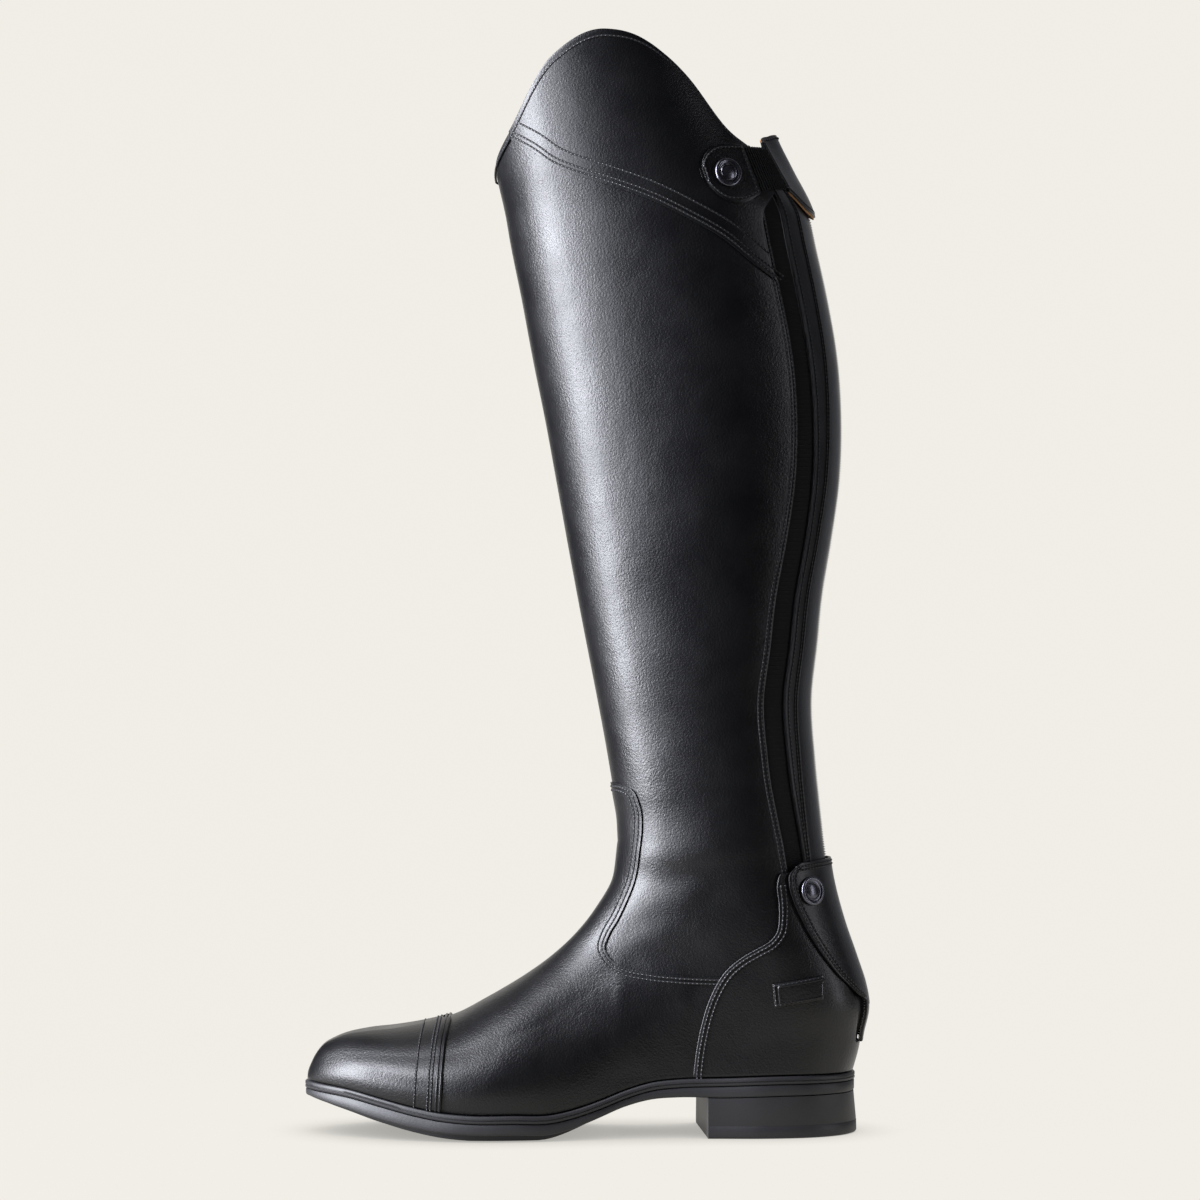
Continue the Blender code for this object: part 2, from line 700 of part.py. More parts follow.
def build_opening(leather, elastic, metal):
    rows = [FOOT_ROWS[SLOT_ROW] + 0.004] + upper_rows()[SLOT_ROW + 1 : -1] + [2.99]
    half = [CHAIN_HALF, CHAIN_HALF + CLEARANCE, ZIP_HALF]
    chain = [-g for g in reversed(half)] + half
    tape, teeth = -2 * CLEARANCE, CLEARANCE
    tops = np.tile([tape, tape, teeth, teeth, tape, tape], (len(rows), 1))
    patch("zip", rows, [chain] * len(rows), tops, tape - LEATHER, metal)
    start, under = ZIP_HALF + CLEARANCE, CLEARANCE - STRIP_THICKNESS
    ends = [max(start + LEATHER, opening_at(r)[0]) for r in rows]
    patch("zip_placket", rows, [between(start, end, 2) for end in ends], CLEARANCE, under, leather)
    patch("zip_strip_inner", rows, [between(-end, -start, 2) for end in ends], CLEARANCE, under, leather)
    high = [r for r in rows if opening_at(r)[1] > PLACKET_EDGE + 0.0015]
    strips = [between(PLACKET_EDGE + CLEARANCE, opening_at(r)[1], 2) for r in high]
    patch("zip_strip_outer", high, strips, 2 * CLEARANCE, under, leather)
    wide = [r for r in rows if opening_at(r)[2] - opening_at(r)[1] > 0.0015]
    gussets = [between(opening_at(r)[1] + CLEARANCE, opening_at(r)[2], 3) for r in wide]
    patch("elastic_gusset", wide, gussets, -0.0003, -0.0015, elastic)


def build_guard(leather, metal):
    heights = [0.0, 0.06, 0.13, 0.22, 0.33, 0.46, 0.60, 0.74, 0.86, 0.94, 1.0]
    rows = [row_at(GUARD_FOOT + h * GUARD_HEIGHT) for h in heights]
    halves = [guard_half(GUARD_FOOT + h * GUARD_HEIGHT) for h in heights]
    stand = OVERLAY_GAP + OVERLAY + 2 * CLEARANCE
    patch("heel_guard", rows, [between(-w, w, 8) for w in halves], stand + LEATHER, stand, leather)
    row = row_at(GUARD_FOOT + 0.78 * GUARD_HEIGHT)
    button("guard_button", row, float(turn_at(row, 0.71 * GUARD_HALF)), stand + LEATHER + CLEARANCE, metal)


def strap_patch(name, girths, spans, stand, thickness, made_of, lift=None):
    """A piece of the strap: columns at the given girths, each between the strap's edges there."""
    foot = COLLAR_HEIGHT - STRAP_DROP
    length = TAB_START + TAB_LENGTH
    turns, heights = [], []
    for girth in girths:
        share = min(1.0, abs(girth) / length)
        low = foot + float(smooth(share, STRAP_EDGE, 1)) * STRAP_WIDTH
        high = foot + float(smooth(share, STRAP_EDGE, 2)) * STRAP_WIDTH
        column = between(low, high, spans)
        heights.append(column)
        turns.append([level_turn(z, girth) for z in column])
    turns, heights = np.array(turns).T, np.array(heights).T
    leg = 1 + (heights - THROAT_HEIGHT) / (BAND_HEIGHT - THROAT_HEIGHT)
    band = 2 + (heights - BAND_HEIGHT) / (top_z(turns) - BAND_HEIGHT)
    rows = np.where(heights < BAND_HEIGHT, leg, band)
    base = np.full(rows.shape, stand)
    if lift:
        base += np.array([[lift(girth, i / spans) for girth in girths] for i in range(spans + 1)])
    return shell(name, surface(rows, turns, base + thickness), surface(rows, turns, base), made_of)


def wrap_lift(girth, up):
    """How far the strap stands off the back, from its low edge to its high edge."""
    inside = float(ease((WRAP_END - girth) / WRAP_END))
    inside *= float(ease((girth + WRAP_INNER) / (0.6 * WRAP_INNER)))
    return inside * (WRAP_LIFT_LOW + up * (WRAP_LIFT_HIGH - WRAP_LIFT_LOW))


def build_strap(leather, elastic, metal):
    stand = 3 * CLEARANCE
    strap_patch("strap_wrap", between(-WRAP_INNER, WRAP_END, 14), 4, stand, LEATHER, leather, wrap_lift)
    link = between(WRAP_END + CLEARANCE, TAB_START - CLEARANCE, 4)
    strap_patch("strap_elastic", link, 3, stand, 0.8 * LEATHER, elastic)
    strap_patch("strap_tab", between(TAB_START, TAB_START + TAB_LENGTH, 6), 4, stand, LEATHER, leather)
    z = COLLAR_HEIGHT - STRAP_DROP + STRAP_WIDTH / 2
    turn = level_turn(z, TAB_START + 0.55 * TAB_LENGTH)
    row = 2 + (z - BAND_HEIGHT) / (float(top_z(turn)) - BAND_HEIGHT)
    button("strap_button", row, turn, stand + LEATHER + CLEARANCE, metal)


def build_sole(rubber, board):
    seam = upper_turns(0)
    half = BACK_COLUMNS // 2
    turns = np.array(seam[half:] + [t + 2 * math.pi for t in seam[:half]])
    under = [(-INSOLE_MARGIN, lambda x: feather_z(x) + 2 * CLEARANCE)]
    over = [(-INSOLE_MARGIN, lambda x: feather_z(x) + 2 * CLEARANCE + INSOLE_THICKNESS)]
    stack("insole", turns, under + over, board)
    stack("welt", turns, [(WELT_MARGIN, welt_z), (WELT_MARGIN, feather_z)], rubber)
    levels = [
        (-TREAD_INSET, tread_z),
        (-TREAD_INSET + 0.0008, lambda x: edge_z(x) - 0.0002),
        (WELT_MARGIN - 0.0012, edge_z),
        (WELT_MARGIN - 0.0003, lambda x: edge_z(x) + 0.0010),
        (WELT_MARGIN - 0.0003, lambda x: welt_z(x) - CLEARANCE),
    ]
    outsole = stack("outsole", turns, levels, rubber)
    bars = []
    for i in range(9):
        x = BACK - (0.58 + 0.036 * i) * UPPER_LENGTH
        slope = math.atan2(float(tread_z(x + 0.002) - tread_z(x - 0.002)), 0.004)
        bars.append(((x, 0.0, float(tread_z(x))), (GROOVE_WIDTH, BALL_WIDTH / 2, 2 * GROOVE_DEPTH), slope))
    groove(outsole, "outsole_grooves", bars, rubber)


def build_heel(rubber):
    reach = HEEL_LENGTH - WELT_MARGIN - HEEL_FLARE
    inner = math.acos(1 - 2 * (reach + BREAST_SKEW / 2) / UPPER_LENGTH)
    outer = math.acos(1 - 2 * (reach - BREAST_SKEW / 2) / UPPER_LENGTH)
    turns = np.linspace(-inner, outer, 25)
    seat = float(edge_z(BACK)) - CLEARANCE
    lift = LIFT_THICKNESS
    levels = [
        (WELT_MARGIN - 0.0006, 0.0),
        (WELT_MARGIN + HEEL_FLARE - 0.0006, 0.0008),
        (WELT_MARGIN + HEEL_FLARE - 0.0008, lift),
        (WELT_MARGIN + 0.0002, lift + 0.0003),
        (WELT_MARGIN + 0.0002, lift + 0.0008),
        (WELT_MARGIN + HEEL_FLARE - 0.0010, lift + 0.0011),
        (WELT_MARGIN - 0.0002, lambda x: np.minimum(seat, edge_z(x) - CLEARANCE)),
    ]
    heel = stack("heel", turns, levels, rubber, ladder=False)
    size = (GROOVE_WIDTH, BALL_WIDTH, 2 * GROOVE_DEPTH)
    bars = [((BACK - 0.010 - 0.014 * i, 0.0, 0.0), size, 0.0) for i in range(4)]
    groove(heel, "heel_grooves", bars, rubber)


def build():
    for item in list(bpy.data.objects):
        bpy.data.objects.remove(item, do_unlink=True)
    leather = material("black_leather", (0.012, 0.012, 0.014), 0.38)
    overlay = material("black_leather_overlay", (0.011, 0.011, 0.013), 0.34)
    elastic = material("black_elastic", (0.010, 0.010, 0.010), 0.85)
    rubber = material("black_rubber", (0.020, 0.020, 0.022), 0.55)
    board = material("insole_leather", (0.20, 0.12, 0.06), 0.70)
    metal = material("black_metal", (0.03, 0.03, 0.032), 0.35, 0.8)
    build_upper(leather)
    build_toe_cap(overlay)
    build_counter(overlay)
    build_spur_rest(overlay)
    build_opening(overlay, elastic, metal)
    build_guard(overlay, metal)
    build_strap(overlay, elastic, metal)
    build_sole(rubber, board)
    build_heel(rubber)


build()
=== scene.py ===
"""Tall black dress riding boot for the left foot, standing alone, seen from its outer side."""

import math

import bmesh
import bpy
import numpy as np
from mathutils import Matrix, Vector


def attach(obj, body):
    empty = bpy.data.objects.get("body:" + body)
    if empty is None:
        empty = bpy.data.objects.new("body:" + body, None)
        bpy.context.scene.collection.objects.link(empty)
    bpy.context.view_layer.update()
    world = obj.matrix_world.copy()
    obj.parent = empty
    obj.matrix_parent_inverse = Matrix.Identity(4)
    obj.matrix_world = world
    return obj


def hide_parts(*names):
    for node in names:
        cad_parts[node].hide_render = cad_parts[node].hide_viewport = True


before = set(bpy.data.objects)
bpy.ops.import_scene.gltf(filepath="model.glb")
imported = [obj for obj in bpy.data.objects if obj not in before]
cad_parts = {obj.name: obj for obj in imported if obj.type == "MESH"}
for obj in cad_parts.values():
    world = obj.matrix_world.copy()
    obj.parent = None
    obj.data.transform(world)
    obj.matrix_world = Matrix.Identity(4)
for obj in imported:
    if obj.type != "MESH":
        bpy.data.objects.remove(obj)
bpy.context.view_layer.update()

# Upper
# The upper is black calf leather drawn over a last and a leg form: one hollow tube from the feather line at
# the sole to the top edge, slit up the back for the zip. Everything else is laid on this surface.
UPPER_LENGTH = 0.2584
BALL_WIDTH = 0.0890
SEAT_HEIGHT = 0.0290
FORE_THICKNESS = 0.0124
TOE_SPRING = 0.0121
THROAT_HEIGHT = 0.1393
COLLAR_HEIGHT = 0.4585
PEAK_HEIGHT = 0.5215
ANKLE_DEPTH = 0.0970
ANKLE_WIDTH = 0.0730
ANKLE_FORWARD = 0.0615
CALF_DEPTH = 0.1460
CALF_WIDTH = 0.1020
BACK = 0.0332
CLEARANCE = 0.0003
WALL = 0.0022
LINING = 0.0008
GLUE_LINE = 0.0001
CUT_EDGE = 0.00025
PLACKET_EDGE = 0.0228
STRIP_EDGE = 0.0372
GUSSET_WIDTH = 0.0105
TOE = BACK - UPPER_LENGTH
ANKLE = BACK - ANKLE_FORWARD
RISE = COLLAR_HEIGHT - THROAT_HEIGHT
BAND_HEIGHT = THROAT_HEIGHT + 0.93 * RISE
EGG = 0.06
RIDGE_LEAST = 0.002
STEP = 0.004
# Where the heel's form takes over from the plan, and the leg's form from the forepart's
HEEL_BLEND_FOOT = 0.010
HEEL_BLEND = 0.050
LEG_BLEND_START = 0.095
LEG_BLEND = 0.085
SHIN_BLEND_FOOT = 0.070
SHIN_BLEND = 0.060
SIDE_BULGE = 0.06
# Plan of the feather line: share of length from the heel, outer and inner shares of half the ball width
PLAN = [
    (0.00, 0.00, 0.00),
    (0.03, 0.40, 0.40),
    (0.08, 0.58, 0.57),
    (0.16, 0.67, 0.65),
    (0.28, 0.67, 0.60),
    (0.40, 0.73, 0.49),
    (0.50, 0.86, 0.56),
    (0.60, 0.99, 0.78),
    (0.66, 1.02, 0.92),
    (0.72, 1.00, 0.98),
    (0.80, 0.88, 0.93),
    (0.88, 0.68, 0.77),
    (0.94, 0.46, 0.54),
    (0.98, 0.25, 0.30),
    (1.00, 0.00, 0.00),
]
# Feather line height: share of length, share of the seat's rise over the forepart, share of the toe spring
FEATHER = [
    (0.00, 1.00, 0.00),
    (0.14, 1.01, 0.00),
    (0.24, 0.96, 0.00),
    (0.32, 0.93, 0.00),
    (0.365, 0.86, 0.00),
    (0.414, 0.65, 0.00),
    (0.463, 0.36, 0.00),
    (0.525, 0.07, 0.00),
    (0.55, 0.00, 0.00),
    (0.62, 0.00, 0.00),
    (0.70, 0.00, 0.00),
    (0.76, 0.00, 0.11),
    (0.81, 0.00, 0.30),
    (0.862, 0.00, 0.55),
    (0.922, 0.00, 0.83),
    (1.00, 0.00, 1.00),
]
# Ridge from the toe tip to the throat: share of the foot rows, share of the way back, share of the rise
RIDGE = [
    (0.000, 0.002, 0.000),
    (0.030, 0.004, 0.032),
    (0.055, 0.014, 0.066),
    (0.080, 0.030, 0.106),
    (0.100, 0.049, 0.136),
    (0.130, 0.081, 0.161),
    (0.160, 0.119, 0.181),
    (0.200, 0.190, 0.201),
    (0.250, 0.276, 0.213),
    (0.310, 0.372, 0.232),
    (0.380, 0.470, 0.266),
    (0.460, 0.574, 0.336),
    (0.550, 0.689, 0.425),
    (0.640, 0.783, 0.512),
    (0.730, 0.861, 0.606),
    (0.820, 0.925, 0.711),
    (0.910, 0.976, 0.832),
    (1.000, 1.000, 1.000),
]
# Heel and ankle: share of the height from seat to throat, share of the way in to the ankle's back,
# share of the ankle's half width, share of the ankle's depth that the back's round takes
HEEL_FORM = [
    (0.000, 0.00, 0.79, 0.39),
    (0.109, -0.25, 0.87, 0.40),
    (0.163, -0.32, 0.89, 0.40),
    (0.281, -0.52, 0.90, 0.41),
    (0.372, -0.40, 0.90, 0.42),
    (0.481, -0.10, 0.90, 0.43),
    (0.653, 0.40, 0.93, 0.46),
    (0.825, 0.78, 0.96, 0.48),
    (1.000, 1.00, 1.00, 0.50),
]
# Leg above the throat: share of the rise to the collar, lean forward as a share of the rise,
# share of the step in depth from ankle to calf, the same for width
LEG_FORM = [
    (0.000, 0.000, 0.000, 0.00),
    (0.059, 0.007, 0.008, 0.03),
    (0.121, 0.015, 0.033, 0.08),
    (0.211, 0.026, 0.104, 0.17),
    (0.300, 0.030, 0.278, 0.30),
    (0.361, 0.033, 0.392, 0.40),
    (0.451, 0.034, 0.596, 0.58),
    (0.541, 0.036, 0.782, 0.74),
    (0.632, 0.043, 0.908, 0.87),
    (0.722, 0.055, 0.990, 0.96),
    (0.812, 0.071, 1.000, 1.02),
    (0.902, 0.090, 0.988, 1.08),
    (0.933, 0.096, 0.978, 1.09),
    (1.000, 0.124, 0.806, 1.13),
    (1.036, 0.139, 0.698, 1.14),
    (1.130, 0.171, 0.510, 1.18),
    (1.197, 0.192, 0.406, 1.20),
]
# Section over the forepart: share of length, power of the round between feather line and ridge
SECTION = [(0.30, 1.5), (0.50, 1.6), (0.60, 1.9), (0.70, 2.2), (0.80, 2.5), (0.90, 2.6), (1.00, 2.3)]
# Top edge: share of the half turn from back to front, outer and inner shares of the peak's rise over the
# collar
TOP_EDGE = [
    (0.00, 0.18, 0.18),
    (0.19, 0.18, 0.13),
    (0.235, 0.30, 0.11),
    (0.284, 0.63, 0.10),
    (0.349, 0.87, 0.08),
    (0.467, 1.00, 0.05),
    (0.622, 0.82, 0.03),
    (0.806, 0.31, 0.01),
    (1.00, 0.00, 0.00),
]
# Back opening: share of the way from seat to collar, share of the strip's edge, share of the gusset's width
OPENING = [
    (0.035, 0.28, 0.00),
    (0.060, 0.37, 0.00),
    (0.095, 0.52, 0.00),
    (0.142, 0.64, 0.00),
    (0.165, 0.68, 0.08),
    (0.223, 0.72, 0.88),
    (0.256, 0.76, 0.90),
    (0.320, 0.83, 0.96),
    (0.400, 0.87, 0.98),
    (0.500, 0.87, 1.00),
    (0.600, 0.88, 0.98),
    (0.700, 0.93, 0.90),
    (0.800, 0.98, 0.86),
    (0.865, 1.00, 0.90),
    (1.030, 0.98, 0.97),
]


def smooth(at, table, column):
    values = np.array(table, dtype=float)
    known, wanted = values[:, 0], values[:, column]
    slope = np.gradient(wanted, known)
    at = np.clip(at, known[0], known[-1])
    i = np.clip(np.searchsorted(known, at, side="right") - 1, 0, len(known) - 2)
    span = known[i + 1] - known[i]
    t = (at - known[i]) / span
    rise = (2 * t**3 - 3 * t**2 + 1) * wanted[i] + (3 * t**2 - 2 * t**3) * wanted[i + 1]
    return rise + span * ((t**3 - 2 * t**2 + t) * slope[i] + (t**3 - t**2) * slope[i + 1])


def ease(at):
    at = np.clip(at, 0.0, 1.0)
    return at * at * (3 - 2 * at)


def length_share(x):
    return np.clip((BACK - x) / UPPER_LENGTH, 0.0, 1.0)


def plan_half(x, side):
    turned = [(math.acos(1 - 2 * s), a, b) for s, a, b in PLAN]
    at = np.arccos(1 - 2 * length_share(x))
    return smooth(at, turned, side) * BALL_WIDTH / 2


def feather_z(x):
    s = length_share(x)
    shank = smooth(s, FEATHER, 1) * (SEAT_HEIGHT - FORE_THICKNESS)
    return FORE_THICKNESS + shank + smooth(s, FEATHER, 2) * TOE_SPRING


TIP_Z = float(feather_z(TOE)) + CLEARANCE
ANKLE_FRONT = ANKLE - ANKLE_DEPTH / 2
RIDGE_ROWS = np.linspace(0, 1, 401)
RIDGE_X = TOE + smooth(RIDGE_ROWS, RIDGE, 1) * (ANKLE_FRONT - TOE)
RIDGE_Z = TIP_Z + smooth(RIDGE_ROWS, RIDGE, 2) * (THROAT_HEIGHT - TIP_Z)


def heel_share(z):
    return (z - SEAT_HEIGHT) / (THROAT_HEIGHT - SEAT_HEIGHT)


def leg_share(z):
    return (z - THROAT_HEIGHT) / RISE


def leg_depth(z):
    return ANKLE_DEPTH + smooth(leg_share(z), LEG_FORM, 2) * (CALF_DEPTH - ANKLE_DEPTH)


def leg_middle(z):
    return ANKLE - smooth(leg_share(z), LEG_FORM, 1) * RISE


def back_x(z):
    ankle_back = ANKLE + ANKLE_DEPTH / 2
    low = BACK + smooth(heel_share(z), HEEL_FORM, 1) * (ankle_back - BACK)
    return np.where(z < THROAT_HEIGHT, low, leg_middle(z) + leg_depth(z) / 2)


def front_x(z):
    low = np.interp(z, RIDGE_Z, RIDGE_X)
    return np.where(z < THROAT_HEIGHT, low, leg_middle(z) - leg_depth(z) / 2)


def leg_half(z):
    low = smooth(heel_share(z), HEEL_FORM, 2) * ANKLE_WIDTH / 2
    high = ANKLE_WIDTH / 2 + smooth(leg_share(z), LEG_FORM, 3) * (CALF_WIDTH - ANKLE_WIDTH) / 2
    return np.where(z < THROAT_HEIGHT, low, high)


def leg_width(x, z):
    back, front = back_x(z), front_x(z)
    low = smooth(heel_share(z), HEEL_FORM, 3) * ANKLE_DEPTH
    round_back = np.where(z < THROAT_HEIGHT, low, leg_depth(z) / 2)
    round_front = back - front - round_back
    behind = np.clip(1 - (back - x) / round_back, 0, 1)
    ahead = np.clip(1 - (x - front) / round_front, 0, 1)
    curve = np.sqrt(1 - behind**2) * np.sqrt(1 - ahead**2)
    return leg_half(z) * curve * (1 + EGG * (behind - ahead))


def rear_width(x, z, side):
    shifted = x - (back_x(z) - back_x(np.full_like(z, SEAT_HEIGHT)))
    up = ease((z - feather_z(x) - HEEL_BLEND_FOOT) / HEEL_BLEND)
    return (1 - up) * plan_half(shifted, side) + up * leg_width(x, z)


def fore_width(x, z, side):
    ridge = np.interp(x, RIDGE_X, RIDGE_Z)
    floor = feather_z(x)
    v = np.clip((z - floor) / (ridge - floor), 0, 1)
    power = smooth(length_share(x), SECTION, 1)
    bulge = 1 + SIDE_BULGE * np.sin(np.pi * np.clip(1.6 * v, 0, 1))
    return plan_half(x, side) * bulge * np.sqrt(1 - v**power)


def half_width(x, z, side):
    rear = ease((x - TOE - LEG_BLEND_START) / LEG_BLEND + np.maximum(0, z - SHIN_BLEND_FOOT) / SHIN_BLEND)
    return (1 - rear) * fore_width(x, z, side) + rear * rear_width(x, z, side)


# The upper's surface by row and by turn round the leg: row 0 is the feather line, row 1 the throat,
# row 2 the foot of the top band and row 3 the top edge; turn 0 is the back, pi the front, outer side positive
def top_z(turns):
    wrapped = (turns + np.pi) % (2 * np.pi) - np.pi
    share = np.abs(wrapped) / np.pi
    rise = np.where(wrapped >= 0, smooth(share, TOP_EDGE, 1), smooth(share, TOP_EDGE, 2))
    return COLLAR_HEIGHT + rise * (PEAK_HEIGHT - COLLAR_HEIGHT)


def foot_place(rows, turns):
    f = np.clip(rows, 0, 1)
    z_back = SEAT_HEIGHT + CLEARANCE + f * (THROAT_HEIGHT - SEAT_HEIGHT - CLEARANCE)
    x_back = back_x(z_back)
    x_front, z_front = np.interp(f, RIDGE_ROWS, RIDGE_X), np.interp(f, RIDGE_ROWS, RIDGE_Z)
    share = (1 - np.cos(turns)) / 2
    x = x_back + share * (x_front - x_back)
    straight = SEAT_HEIGHT + CLEARANCE + share * (TIP_Z - SEAT_HEIGHT - CLEARANCE)
    sag = (feather_z(x) + CLEARANCE - straight) * np.clip(1 - f / 0.4, 0, 1) ** 2
    return x, z_back + share * (z_front - z_back) + sag


def leg_place(rows, turns):
    low = THROAT_HEIGHT + np.clip(rows - 1, 0, 1) * (BAND_HEIGHT - THROAT_HEIGHT)
    z = low + np.maximum(rows - 2, 0) * (top_z(turns) - BAND_HEIGHT)
    back, front = back_x(z), front_x(z)
    return back + (front - back) * (1 - np.cos(turns)) / 2, z


def lay(rows, turns):
    rows, turns = np.broadcast_arrays(np.asarray(rows, float), np.asarray(turns, float))
    foot_x, foot_z = foot_place(rows, turns)
    leg_x, leg_z = leg_place(rows, turns)
    x, z = np.where(rows < 1, foot_x, leg_x), np.where(rows < 1, foot_z, leg_z)
    least = RIDGE_LEAST * np.abs(np.sin(turns))
    outer, inner = np.maximum(half_width(x, z, 1), least), np.maximum(half_width(x, z, 2), least)
    y = np.where(np.sin(turns) >= 0, -outer, inner)
    return np.stack([x, y, z], axis=-1)


def surface(rows, turns, proud=0.0):
    rows, turns = np.broadcast_arrays(np.asarray(rows, float), np.asarray(turns, float))
    along = lay(rows + STEP, turns) - lay(np.maximum(rows - STEP, 0), turns)
    across = lay(rows, turns + STEP) - lay(rows, turns - STEP)
    normal = np.cross(along, across)
    normal /= np.linalg.norm(normal, axis=-1, keepdims=True)
    return lay(rows, turns) + normal * np.asarray(proud)[..., None]


def row_at(z):
    if z < THROAT_HEIGHT:
        return max(0.0, (z - SEAT_HEIGHT - CLEARANCE) / (THROAT_HEIGHT - SEAT_HEIGHT - CLEARANCE))
    if z < BAND_HEIGHT:
        return 1 + (z - THROAT_HEIGHT) / (BAND_HEIGHT - THROAT_HEIGHT)
    return 2 + (z - BAND_HEIGHT) / (float(top_z(0.0)) - BAND_HEIGHT)


TURN_STEPS = np.linspace(-2.6, 2.6, 261)
BACK_STEP = len(TURN_STEPS) // 2


def turn_at(rows, girths):
    """Turns reached after running these girths round from the back, at one row or at each of several."""
    points = lay(np.atleast_1d(rows)[:, None], TURN_STEPS)
    steps = np.linalg.norm(np.diff(points, axis=1), axis=2)
    run = np.concatenate([np.zeros((len(points), 1)), np.cumsum(steps, axis=1)], axis=1)
    run -= run[:, BACK_STEP : BACK_STEP + 1]
    if np.ndim(rows) == 0:
        return np.interp(girths, run[0], TURN_STEPS)
    return np.array([np.interp(girth, one, TURN_STEPS) for girth, one in zip(girths, run)])


def level_turn(z, girth):
    """The turn at which a level section of the leg has run this far from the back seam."""
    back, front = back_x(z), front_x(z)
    x = back + (front - back) * (1 - np.cos(TURN_STEPS)) / 2
    y = -np.sign(TURN_STEPS) * leg_width(x, np.full_like(x, z))
    run = np.concatenate([[0], np.cumsum(np.hypot(np.diff(x), np.diff(y)))])
    return float(np.interp(girth, run - run[BACK_STEP], TURN_STEPS))


def opening_at(rows):
    """Girths of the placket's, strip's and slot's edges at these rows."""
    share = (lay(rows, 0.0)[..., 2] - SEAT_HEIGHT) / (COLLAR_HEIGHT - SEAT_HEIGHT)
    strip = smooth(share, OPENING, 1) * STRIP_EDGE
    slot = strip + CLEARANCE + np.maximum(0.0, smooth(share, OPENING, 2)) * GUSSET_WIDTH
    return np.minimum(PLACKET_EDGE, strip), strip, slot


# Soft troughs and ridges left by wear: place in mm seen from the side, lean in degrees, half length and
# half width in mm, depth in mm (a ridge is negative)
CREASES = [
    (-56, 152, 8, 30, 7, 0.55),
    (-50, 134, -4, 34, 6, -0.45),
    (-54, 122, 10, 32, 7, 0.60),
    (-48, 106, 24, 30, 6, 0.50),
    (-60, 98, 32, 26, 6, -0.45),
    (-20, 170, -10, 26, 8, 0.45),
    (-40, 196, 6, 34, 10, 0.55),
    (-30, 226, -8, 34, 11, -0.50),
    (-46, 256, 8, 36, 12, 0.50),
    (-98, 76, 38, 26, 9, 0.22),
    (-112, 62, 40, 26, 8, -0.20),
    (-128, 52, 46, 22, 7, 0.20),
]


def relief(rows, turns):
    """How far the leather stands off its plain form at each place."""
    points = lay(rows, turns) * 1000
    off = np.zeros(points.shape[:-1])
    for x, z, lean, length, width, depth in CREASES:
        c, s = math.cos(math.radians(lean)), math.sin(math.radians(lean))
        along = (points[..., 0] - x) * c + (points[..., 2] - z) * s
        across = (points[..., 2] - z) * c - (points[..., 0] - x) * s
        across = across - 0.004 * along**2
        off -= depth / 1000 * np.exp(-((across / width) ** 2) - (along / length) ** 4)
    return off


GRID_ROWS, GRID_TURNS = np.meshgrid(np.linspace(0, 3.1, 125), np.linspace(0.02, 3.12, 90), indexing="ij")
GRID = lay(GRID_ROWS, GRID_TURNS)


def places(x, z):
    """Rows and turns of the points on the outer side that a side view shows at x and z."""
    away = (GRID[..., 0][None] - x[:, None, None]) ** 2 + (GRID[..., 2][None] - z[:, None, None]) ** 2
    nearest = away.reshape(len(x), -1).argmin(axis=1)
    rows, turns = GRID_ROWS.flat[nearest], GRID_TURNS.flat[nearest]
    small, row_reach, turn_reach = 1e-4, 0.02, 0.03
    for _ in range(6):
        here = lay(rows, turns)
        by_row = (lay(rows + small, turns) - lay(rows - small, turns)) / (2 * small)
        by_turn = (lay(rows, turns + small) - lay(rows, turns - small)) / (2 * small)
        dx, dz = x - here[:, 0], z - here[:, 2]
        det = by_row[:, 0] * by_turn[:, 2] - by_turn[:, 0] * by_row[:, 2]
        det = np.where(np.abs(det) < 1e-9, 1e-9, det)
        row_step = np.clip((dx * by_turn[:, 2] - dz * by_turn[:, 0]) / det, -row_reach, row_reach)
        turn_step = np.clip((dz * by_row[:, 0] - dx * by_row[:, 2]) / det, -turn_reach, turn_reach)
        rows = np.clip(rows + row_step, 0.0, 3.2)
        turns = np.clip(turns + turn_step, 0.0, math.pi)
    return rows, turns


def spline(points, step):
    """Evenly spaced points of a smooth line through a few given ones."""
    points = np.array(points, float)
    run = np.concatenate([[0], np.cumsum(np.linalg.norm(np.diff(points, axis=0), axis=1))])
    at = np.linspace(0, run[-1], max(2, int(run[-1] / step)))
    tables = [list(zip(run, points[:, k])) for k in range(points.shape[1])]
    return np.stack([smooth(at, table, 1) for table in tables], axis=1)


def seam(points, shift=0.0, step=1.2):
    """Rows and turns of a line drawn in mm on the side view, moved to its left by shift mm."""
    line = spline(points, step)
    along = np.gradient(line, axis=0)
    along /= np.linalg.norm(along, axis=1, keepdims=True)
    line = line + shift * np.stack([-along[:, 1], along[:, 0]], axis=1)
    return places(line[:, 0] / 1000, line[:, 1] / 1000)


def linear(code):
    """An sRGB hex code as linear values."""
    parts = [int(code[i : i + 2], 16) / 255 for i in (1, 3, 5)]
    return tuple(p / 12.92 if p < 0.04045 else ((p + 0.055) / 1.055) ** 2.4 for p in parts) + (1.0,)


def add(tree, kind, values=None, links=None):
    """Adds a node with its settings and links."""
    node = tree.nodes.new(kind)
    for key, value in (values or {}).items():
        if isinstance(key, int) or key in node.inputs:
            node.inputs[key].default_value = value
        else:
            setattr(node, key, value)
    for key, source in (links or {}).items():
        tree.links.new(source, node.inputs[key])
    return node


def material(name, settings):
    """A new material with these shader settings; gives it, its tree, its shader and Object coordinates."""
    made = bpy.data.materials.new(name)
    made.use_nodes = True
    tree = made.node_tree
    shader = tree.nodes["Principled BSDF"]
    for key, value in settings.items():
        shader.inputs[key].default_value = value
    return made, tree, shader, add(tree, "ShaderNodeTexCoord").outputs["Object"]


